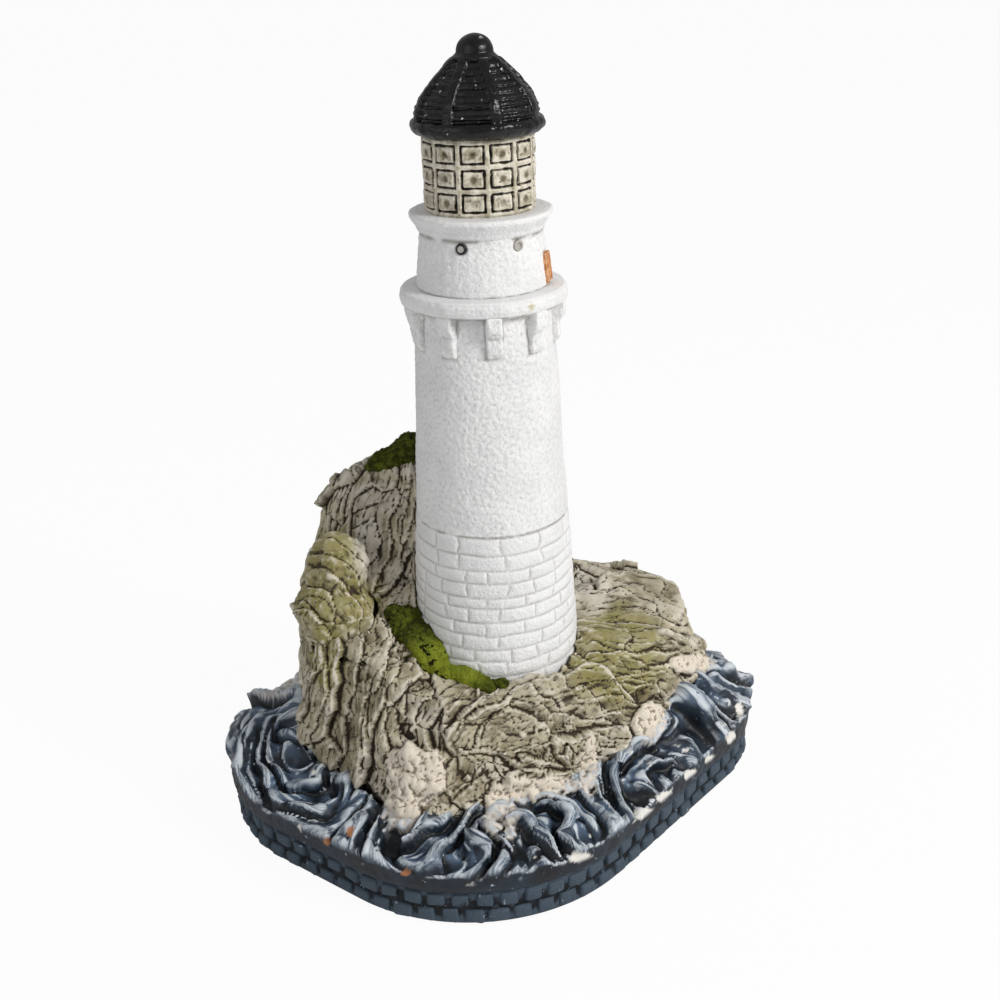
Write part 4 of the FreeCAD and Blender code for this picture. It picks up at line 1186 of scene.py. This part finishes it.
def plinth_wall(plan):
    """The wall behind the cobbles, closed at its foot and top."""
    rows = [np.column_stack([plan, np.full(len(plan), z)])
            for z in np.linspace(1.2, LIP_FOOT, 14)]
    points = np.concatenate(rows + [[[0, 0, 1.2], [0, 0, LIP_FOOT]]])
    count = len(plan)
    faces = [(k * count + i, k * count + (i + 1) % count, (k + 1) * count + (i + 1) % count,
              (k + 1) * count + i) for k in range(len(rows) - 1) for i in range(count)]
    top = (len(rows) - 1) * count
    faces += [((i + 1) % count, i, len(points) - 2) for i in range(count)]
    faces += [(top + i, top + (i + 1) % count, len(points) - 1) for i in range(count)]
    return mesh_object("plinth_wall", points, faces)


def plinth():
    """A wall with rows of cobbles set along it, half a cobble apart."""
    paint = cobble_paint()
    plan = belt(2.2, 480)
    made = [plinth_wall(plan)]
    stone = cobble()
    around = np.linalg.norm(np.diff(np.concatenate([plan, plan[:1]]), axis=0), axis=1).sum()
    number = round(around / COBBLE_PITCH)
    for row, height in enumerate(COBBLE_ROWS):
        shift = row * round(len(plan) / number / 2)
        host = outline_curve("cobble_row", plan, height, shift)
        made.append(grow(WALL, host, "cobbles", cobble=stone, count=number, unevenness=0.1,
                         seed=3 + row, paint=paint))
    bpy.data.objects.remove(stone)
    whole = join("plinth_cobbled", made)
    p = points_of(whole)
    inside = ease(1.2, 2.4, p[:, 2]) * ease(LIP_FOOT, LIP_FOOT - 1.2, p[:, 2])
    raise_by(whole, (0.5 * rubble(p, 5.0, 2, 36) + 0.3 * rubble(p, 2.0, 2, 37)) * inside)
    store_relief(whole, 2, 6, 2.0)
    show(whole, paint, "sea_paint", "plinth")


# --- tower --------------------------------------------------------------------------------

def roughcast(points, degrees):
    """Stippled render: small round grains over slow unevenness."""
    near, _ = grains(points, 1.7, 7)
    bumps = 0.34 * (0.75 - near) + 0.12 * lumps(points, 0.9, 8)
    return bumps + 0.3 * lumps(points, 14.0, 9)


# Tops of the courses of blocks, from the highest down.
COURSE_TOPS = (119.0, 112.3, 106.5, 101.8, 96.3, 92.0, 86.6, 81.8, 76.3, 71.2, 66.0, 61.0)


def masonry_relief(points, degrees):
    """Courses of blocks with narrow worn joints, under thick paint."""
    tops = np.array(COURSE_TOPS[::-1])
    wave = 0.45 * lumps(points, 9.0, 12)
    z = points[:, 2] + wave
    course = np.searchsorted(tops, z)
    edges = np.abs(z[:, None] - tops[None, :]).min(1)
    face = np.zeros(len(points))
    upright = np.full(len(points), 9.0)
    rng = np.random.default_rng(12)
    for row in range(len(tops) + 1):
        widths = rng.uniform(0.7, 1.35, 14)
        joints = np.cumsum(widths) / widths.sum() * 360.0 + rng.uniform(0, 360)
        lifts = rng.uniform(-0.16, 0.16, 14)
        chosen = course == row
        gap = (degrees[chosen, None] + 2.0 * lumps(points[chosen], 4.0, 13)[:, None]
               - joints[None, :] + 180) % 360 - 180
        upright[chosen] = np.abs(gap).min(1) * math.pi / 180 * 29.0
        face[chosen] = lifts[np.argmin(np.where(gap < 0, 999, gap), axis=1)]
    fade = 0.65 + 0.35 * lumps(points, 7.0, 14)
    width = 0.5
    groove = np.maximum(np.exp(-(edges / width) ** 2), np.exp(-(upright / width) ** 2))
    pillow = 0.18 * ease(0.0, 2.2, np.minimum(edges, upright))
    near, _ = grains(points, 1.3, 15)
    return (face + pillow - 0.6 * fade * groove + 0.12 * (0.7 - near)
            + 0.12 * rubble(points, 4.0, 3, 16))


def grime(p, name):
    """Painted shade in the corners between the tower's pieces and beside and under the corbels,
    broken up unevenly.
    """
    degrees, _ = azimuth(p)
    z = p[:, 2]
    painted_shade = {"tower_shaft": ease(2.2, 0.0, DECK_FOOT - z) + ease(0.9, 0.0, z - SHAFT_FOOT),
            "masonry_foot": ease(0.7, 0.0, SHAFT_FOOT - z),
            "gallery_deck": ease(0.7, 0.0, z - DECK_FOOT),
            "watch_room": ease(0.9, 0.0, z - WATCH_FOOT) + ease(1.6, 0.0, CAP_FOOT - 0.6 - z),
            "upper_gallery": ease(1.4, 0.0, z - CAP_FOOT + 1.0)}.get(name, 0 * z)
    if name == "tower_shaft":
        step = 360.0 / CORBELS
        aside = (degrees - CORBEL_AZIMUTH + step / 2) % step - step / 2
        across = np.abs(aside) * math.pi / 180 * 24.6
        beside = ease(1.0, 0.2, np.abs(across - 2.9)) * ease(180.6, 182.0, z)
        below = ease(1.2, 0.0, np.abs(z - 181.8)) * (across < 3.0)
        painted_shade = np.maximum(painted_shade, 0.8 * np.maximum(beside, below))
    return np.clip(painted_shade, 0, 1) * ease(-0.9, 0.3, rubble(p, 4.0, 3, 47))


def masonry_blocks():
    """The lower tower, with its courses of blocks."""
    return lathe("masonry_blocks", [(20.0, 56.0), (31.0, 56.0), (27.4, 119.0), (20.0, 119.0)],
                 0.5, masonry_relief)


def shaft_roughcast():
    """The upper tower, stippled."""
    return lathe("shaft_roughcast", [(18.0, 118.6), (27.0, 118.7), (27.1, 119.4),
                                     (23.4, 196.0), (18.0, 196.0)], 0.5, roughcast)


def deck_ring():
    """The lower gallery, with a rounded edge."""
    return lathe("deck_ring", [(18.0, 195.2), (23.0, 195.3), (27.0, 195.9), (28.0, 196.8),
                               (28.3, 198.2), (28.1, 200.0), (27.2, 201.2), (25.0, 201.6),
                               (18.0, 201.5)], 0.5,
                 lambda p, a: 0.6 * roughcast(p, a) + 0.25 * rubble(p, 5.0, 3, 18))


def cap_ring():
    """The upper gallery, flared under the lantern."""
    return lathe("cap_ring", [(15.0, 219.2), (20.4, 219.3), (21.2, 220.6), (21.9, 222.2),
                              (23.0, 223.8), (23.7, 224.8), (23.8, 225.5), (23.4, 226.3),
                              (21.5, 226.6), (15.0, 226.5)], 0.45,
                 lambda p, a: 0.4 * roughcast(p, a) + 0.25 * rubble(p, 5.0, 3, 19))


def watch_room():
    """The drum between the galleries, smoother at its foot."""
    drum = dense("watch_room", "watch_room_roughcast", 0.5, 2)
    p = points_of(drum)
    raise_by(drum, 0.8 * roughcast(p, None) * ease(0.0, 3.0, p[:, 2] - WATCH_FOOT))
    return drum


def corbels():
    """Brackets under the lower gallery, each in two steps."""
    side = ((20.0, 196.4), (27.7, 196.4), (27.7, 191.6), (26.6, 189.4), (25.8, 189.4),
            (25.8, 184.2), (24.8, 182.0), (20.0, 182.0))
    bracket = round_edges(slab("bracket", side, 2.6), 0.5, 3)
    ring = recast(ring_of("corbels_cast", bracket, CORBELS, CORBEL_AZIMUTH), "corbels_cast",
                  0.45, 2)
    p = points_of(ring)
    raise_by(ring, 0.3 * rubble(p, 3.0, 3, 44) + 0.15 * lumps(p, 1.0, 45))
    return ring


def tower():
    """The white pieces, with painted shade in their corners and a stain on the lower gallery."""
    paint = white_paint()
    for make, node_name in ((masonry_blocks, "masonry_foot"), (shaft_roughcast, "tower_shaft"),
                            (deck_ring, "gallery_deck"), (cap_ring, "upper_gallery"),
                            (watch_room, "watch_room"), (corbels, "corbels")):
        obj = make()
        store_relief(obj, 3, 10, 2.2)
        p = points_of(obj)
        px, py = photo(p)
        front = ease(10.0, -5.0, p[:, 1])
        # painted shade in the corners between the pieces
        store(obj, "grime", grime(p, node_name))
        store(obj, "stain", patch(px, py, GALLERY_STAIN) * front
              * ease(-0.3, 0.5, lumps(p, 2.0, 46)))
        show(obj, paint, "white_paint", node_name)


def lantern():
    """A twelve-sided glazed drum: bars, mullions and three rows of raised panes."""
    sides, rows, bar = 12, 3, 1.4
    first, step = 9.0, 360.0 / sides
    half_angle = math.pi / sides
    core_radius, bar_radius = 17.0, 18.3
    pitch = (24.0 - bar) / rows
    core = lathe("lantern_core", [(12.0, 226.0), (17.2, 226.0), (17.2, 250.8), (12.0, 250.8)],
                 1.0)
    made = [core]
    for row in range(rows + 1):
        low = LANTERN_FOOT + pitch * row
        made.append(lathe("glazing_bar", [(15.0, low), (bar_radius, low),
                                          (bar_radius, low + bar), (15.0, low + bar)], 0.7))
    mullion = slab("mullion", ((15.0, 226.6), (bar_radius + 0.1, 226.6),
                               (bar_radius + 0.1, 250.4), (15.0, 250.4)), bar / 2)
    made.append(ring_of("mullions", mullion, sides, first))
    half_pane = core_radius * math.tan(half_angle) - bar / 2 - 0.75
    for row in range(rows):
        low = LANTERN_FOOT + pitch * row + bar + 0.75
        high = LANTERN_FOOT + pitch * (row + 1) - 0.75
        pane = slab("pane", ((15.0, low), (core_radius + 1.25, low),
                             (core_radius + 1.25, high), (15.0, high)), half_pane)
        made.append(ring_of("panes", pane, sides, first + step / 2))
    whole = recast(join("lantern_parts", made), "lantern_glazed", 0.3, 3)
    p = points_of(whole)
    raise_by(whole, 0.22 * rubble(p, 2.5, 3, 51))
    store_relief(whole, 3, 8, 3.5)
    p = points_of(whole)
    degrees, radius = azimuth(p)
    across = ((degrees - first) % step - step / 2) * math.pi / 180 * 18.0
    up = (p[:, 2] - LANTERN_FOOT - bar / 2) % pitch - pitch / 2
    dot = ease(1.6, 0.6, np.hypot(across + 0.4 * lumps(p, 5.0, 52), up))
    store(whole, "dot", dot * ease(-0.4, 0.1, p[:, 2] / 30.0 - 7.9 + 0.3 * lumps(p, 9.0, 53)))
    edge = np.maximum(np.abs(across) / (half_pane + 0.45), np.abs(up) / (pitch / 2 - 1.05))
    worn = ease(-0.75, 0.0, rubble(p, 3.0, 3, 50))
    # painted shade: the dark line also runs along the lantern's foot on the gallery and under the
    # roof's eaves
    ends = np.maximum(ease(1.2, 0.0, p[:, 2] - LANTERN_FOOT), ease(2.0, 0.0, ROOF_FOOT - p[:, 2]))
    store(whole, "line", np.maximum(np.exp(-((edge - 1.0) / 0.1) ** 2), 0.6 * ends) * worn)
    show(whole, lantern_paint(), "lantern_paint", "lantern_room")


def roof(paint):
    """A bead at the eaves, rings of rope-like rolls and eight flat ribs."""
    outline = [(12.0, 250.5), (18.9, 250.5), (20.3, 251.2), (21.3, 252.2), (21.7, 253.4),
               (21.5, 254.6), (20.8, 255.4), (19.6, 255.8), (19.3, 256.2)]
    stops = ((256.2, 19.9), (259.5, 18.9), (262.5, 17.4), (265.0, 15.4), (267.5, 12.9),
             (270.0, 10.2), (273.0, 7.2))
    count = 9
    for i in range(count):
        for step, proud in ((0.04, -0.6), (0.28, 0.4), (0.68, 0.45), (0.92, -0.5)):
            height = 256.4 + 16.4 * (i + step) / count
            outline.append((float(np.interp(height, *np.array(stops).T)) + proud, height))
    outline += [(7.0, 273.4), (4.0, 273.4)]
    dome = lathe("roof_rolls", outline, 0.35,
                 lambda p, a: 0.3 * lumps(p, 3.0, 54) + 0.25 * lumps(p, 9.0, 55))
    side = [(16.0, 255.2), (20.7, 255.4), (20.6, 258.4), (19.0, 262.0), (16.9, 265.0),
            (14.2, 267.8), (8.2, 273.6), (5.0, 273.4), (12.0, 260.0)]
    ribs = ring_of("roof_ribs", round_edges(slab("rib", side, 1.6), 0.5, 3), 8, 18.0)
    whole = recast(join("roof_parts", [dome, ribs]), "roof_cast", 0.33, 2)
    p = points_of(whole)
    raise_by(whole, 0.2 * rubble(p, 2.5, 3, 56))
    store_relief(whole, 3, 8, 2.5)
    store(whole, "chip", ease(1.0, 1.1, lumps(p, 1.6, 57) * lumps(p, 0.9, 58) * 2))
    show(whole, paint, "roof_paint", "roof")


def finial(paint):
    """A broad ball on a short neck, its paint worn at the top."""
    ball = [(0.3, 280.75)]
    for tilt in range(12, 97, 9):
        ball.append((5.9 * math.sin(math.radians(tilt)),
                     275.4 + 5.35 * math.cos(math.radians(tilt))))
    profile = [(2.0, 272.6), (7.3, 272.8), (7.4, 273.8), (6.6, 274.4)]
    knob = lathe("finial_ball", profile + ball[::-1], 0.35,
                 lambda p, a: 0.25 * lumps(p, 2.5, 59))
    store_relief(knob, 3, 8, 2.0)
    q = points_of(knob)
    store(knob, "chip", ease(0.3, 0.5, lumps(q, 2.0, 60)) * ease(279.0, 280.2, q[:, 2]))
    show(knob, paint, "roof_paint", "finial")


def facing(degrees, out, height):
    """A matrix, in metres, whose own -Y looks out from the tower."""
    turn = Matrix.Rotation(math.radians(degrees), 4, "Z")
    out_way = turn @ Vector((0, -1, 0))
    place = Vector((AXIS_X, AXIS_Y, height)) * MM + out_way * out * MM
    return Matrix.Translation(place) @ turn


def porthole_discs():
    """Two small round windows, a raised ring round a shallow dish."""
    made = []
    profile = [(0.05, 0.3), (0.8, 0.25), (1.05, 0.1), (1.15, -0.3), (1.4, -0.42),
               (1.65, -0.3), (1.75, 0.3), (1.7, 1.2)]
    for degrees, worn in ((-18.6, 0.0), (34.2, 1.0)):
        sides = 40
        points = []
        for r, y in profile:
            for i in range(sides):
                a = 2 * math.pi * i / sides
                points.append((r * math.cos(a), y, r * math.sin(a)))
        faces = [(k * sides + i, k * sides + (i + 1) % sides,
                  (k + 1) * sides + (i + 1) % sides, (k + 1) * sides + i)
                 for k in range(len(profile) - 1) for i in range(sides)]
        faces.append(tuple(range(sides)))
        faces.append(tuple(range((len(profile) - 1) * sides, len(profile) * sides)))
        obj = mesh_object("porthole", points, faces)
        p = points_of(obj)
        dish = ease(1.15, 1.0, np.hypot(p[:, 0], p[:, 2]))
        obj.data.transform(facing(degrees, 20.95, 217.3))
        store(obj, "pane", dish)
        store(obj, "worn", np.full(len(p), worn) * ease(-1.0, -0.4, lumps(p, 1.0, 63)))
        made.append(obj)
    show(join("porthole_rings", made), porthole_paint(), "porthole_paint", "portholes")


def door():
    """A plank door with a frame, in its recess on the gallery."""
    parts = []
    for k in range(4):
        parts.append(round_edges(block("plank", 1.3, 0.9, 10.0, -2.1 + 1.4 * k, 0.0, 5.0),
                                 0.15, 2))
    for x in (-2.95, 2.95):
        parts.append(round_edges(block("jamb", 0.6, 1.6, 11.2, x, 0.0, 5.6), 0.15, 2))
    parts.append(round_edges(block("lintel", 6.4, 1.6, 0.9, 0.0, 0.0, 10.7), 0.15, 2))
    for z in (2.5, 8.0):
        parts.append(round_edges(block("ledge", 5.4, 1.3, 0.8, 0.0, 0.0, z), 0.15, 2))
    whole = join("plank_door", parts)
    lean = math.atan2(2.1, CAP_FOOT - WATCH_FOOT)
    whole.data.transform(Matrix.Translation((0, 0, 1.0 * MM)) @ Matrix.Diagonal((1, 1, 0.87, 1)))
    whole.data.transform(facing(76.0, 22.6, WATCH_FOOT) @ Matrix.Rotation(-lean, 4, "X"))
    whole = recast(whole, "plank_door", 0.16, 1)
    p = points_of(whole)
    raise_by(whole, 0.08 * rubble(p, 1.5, 2, 64))
    store_relief(whole, 2, 6, 4.0)
    show(whole, door_paint(), "door_paint", "gallery_door")


def block(name, wide, deep, tall, x, y, z):
    """A box by its size and the place of its middle."""
    points = [(x + wide * i / 2, y + deep * j / 2, z + tall * k / 2)
              for i in (-1, 1) for j in (-1, 1) for k in (-1, 1)]
    faces = [(0, 1, 3, 2), (4, 6, 7, 5), (0, 4, 5, 1), (2, 3, 7, 6), (0, 2, 6, 4), (1, 5, 7, 3)]
    return mesh_object(name, points, faces)


# --- stage --------------------------------------------------------------------------------

STUDIO_LIGHT = 0.36
FLOOR_REACH, FLOOR_GLOW = 30000.0, 0.95


def camera():
    """The camera that took the photograph."""
    data = bpy.data.cameras.new("photo_camera")
    data.sensor_width = 36.0
    data.lens = LENS_PX / 1000.0 * 36.0
    data.clip_start = 0.01
    obj = add("photo_camera", data)
    obj.matrix_world = (Matrix.Translation(Vector((AXIS_X + EYE_SIDE, AXIS_Y - EYE_BACK,
                                                   EYE_HEIGHT)) * MM)
                        @ Matrix.Rotation(math.pi / 2 - TILT, 4, "X")
                        @ Matrix.Rotation(ROLL, 4, "Z"))
    bpy.context.scene.camera = obj


def lamp(name, place, aim, wide, watts, colour):
    """A round lamp, placed and aimed in metres."""
    data = bpy.data.lights.new(name, "AREA")
    data.shape = "DISK"
    data.size = wide
    data.energy = watts
    data.color = colour
    obj = add(name, data)
    obj.location = Vector(place)
    obj.rotation_euler = (Vector(aim) - Vector(place)).to_track_quat("-Z", "Y").to_euler()


def seen_directly(tree):
    """1 for a ray straight from the camera or through glass, else 0."""
    path = node(tree, "ShaderNodeLightPath")
    return maths(tree, "ADD", path.outputs["Is Camera Ray"],
                 path.outputs["Is Transmission Ray"], clamp=True)


def stage():
    """A white studio with a pale floor, a key lamp at the right and a weak fill at the left."""
    scene = bpy.context.scene
    scene.view_settings.view_transform = "Standard"
    world = bpy.data.worlds.new("studio")
    scene.world = world
    world.use_nodes = True
    tree = world.node_tree
    background = tree.nodes["Background"]
    strength = maths(tree, "MULTIPLY_ADD", seen_directly(tree), 1 - STUDIO_LIGHT)
    strength.node.inputs[2].default_value = STUDIO_LIGHT
    background.inputs["Color"].default_value = (1.0, 1.0, 1.0, 1.0)
    tree.links.new(strength, background.inputs["Strength"])
    floor = mesh_object("floor", [(x * FLOOR_REACH, y * FLOOR_REACH, -0.05)
                                  for x, y in ((-1, -1), (1, -1), (1, 1), (-1, 1))],
                        [(0, 1, 2, 3)])
    material = bpy.data.materials.new("pale_floor")
    material.use_nodes = True
    tree = material.node_tree
    shader = tree.nodes["Principled BSDF"]
    shader.inputs["Base Color"].default_value = (0.9, 0.9, 0.9, 1)
    shader.inputs["Roughness"].default_value = 0.9
    glow = node(tree, "ShaderNodeEmission", in_1=1.0)
    mix = node(tree, "ShaderNodeMixShader")
    tree.links.new(maths(tree, "MULTIPLY", seen_directly(tree), FLOOR_GLOW), mix.inputs[0])
    tree.links.new(shader.outputs[0], mix.inputs[1])
    tree.links.new(glow.outputs[0], mix.inputs[2])
    tree.links.new(mix.outputs[0], tree.nodes["Material Output"].inputs["Surface"])
    floor.data.materials.append(material)
    lamp("key", (0.98, -0.6, 0.85), (0, 0, 0.12), 0.4, 11.5, (1.0, 0.99, 0.97))
    lamp("fill", (-0.8, -0.7, 0.6), (0, 0, 0.12), 0.9, 1.6, (0.96, 0.98, 1.0))


camera()
stage()
rock_coat = rock_paint()
rocks(rock_coat)
boulders(rock_coat)
sea()
turf_patches()
plinth()
tower()
lantern()
roof_coat = roof_paint()
roof(roof_coat)
finial(roof_coat)
porthole_discs()
door()
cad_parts["felt_pad"].data.materials.clear()
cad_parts["felt_pad"].data.materials.append(felt())
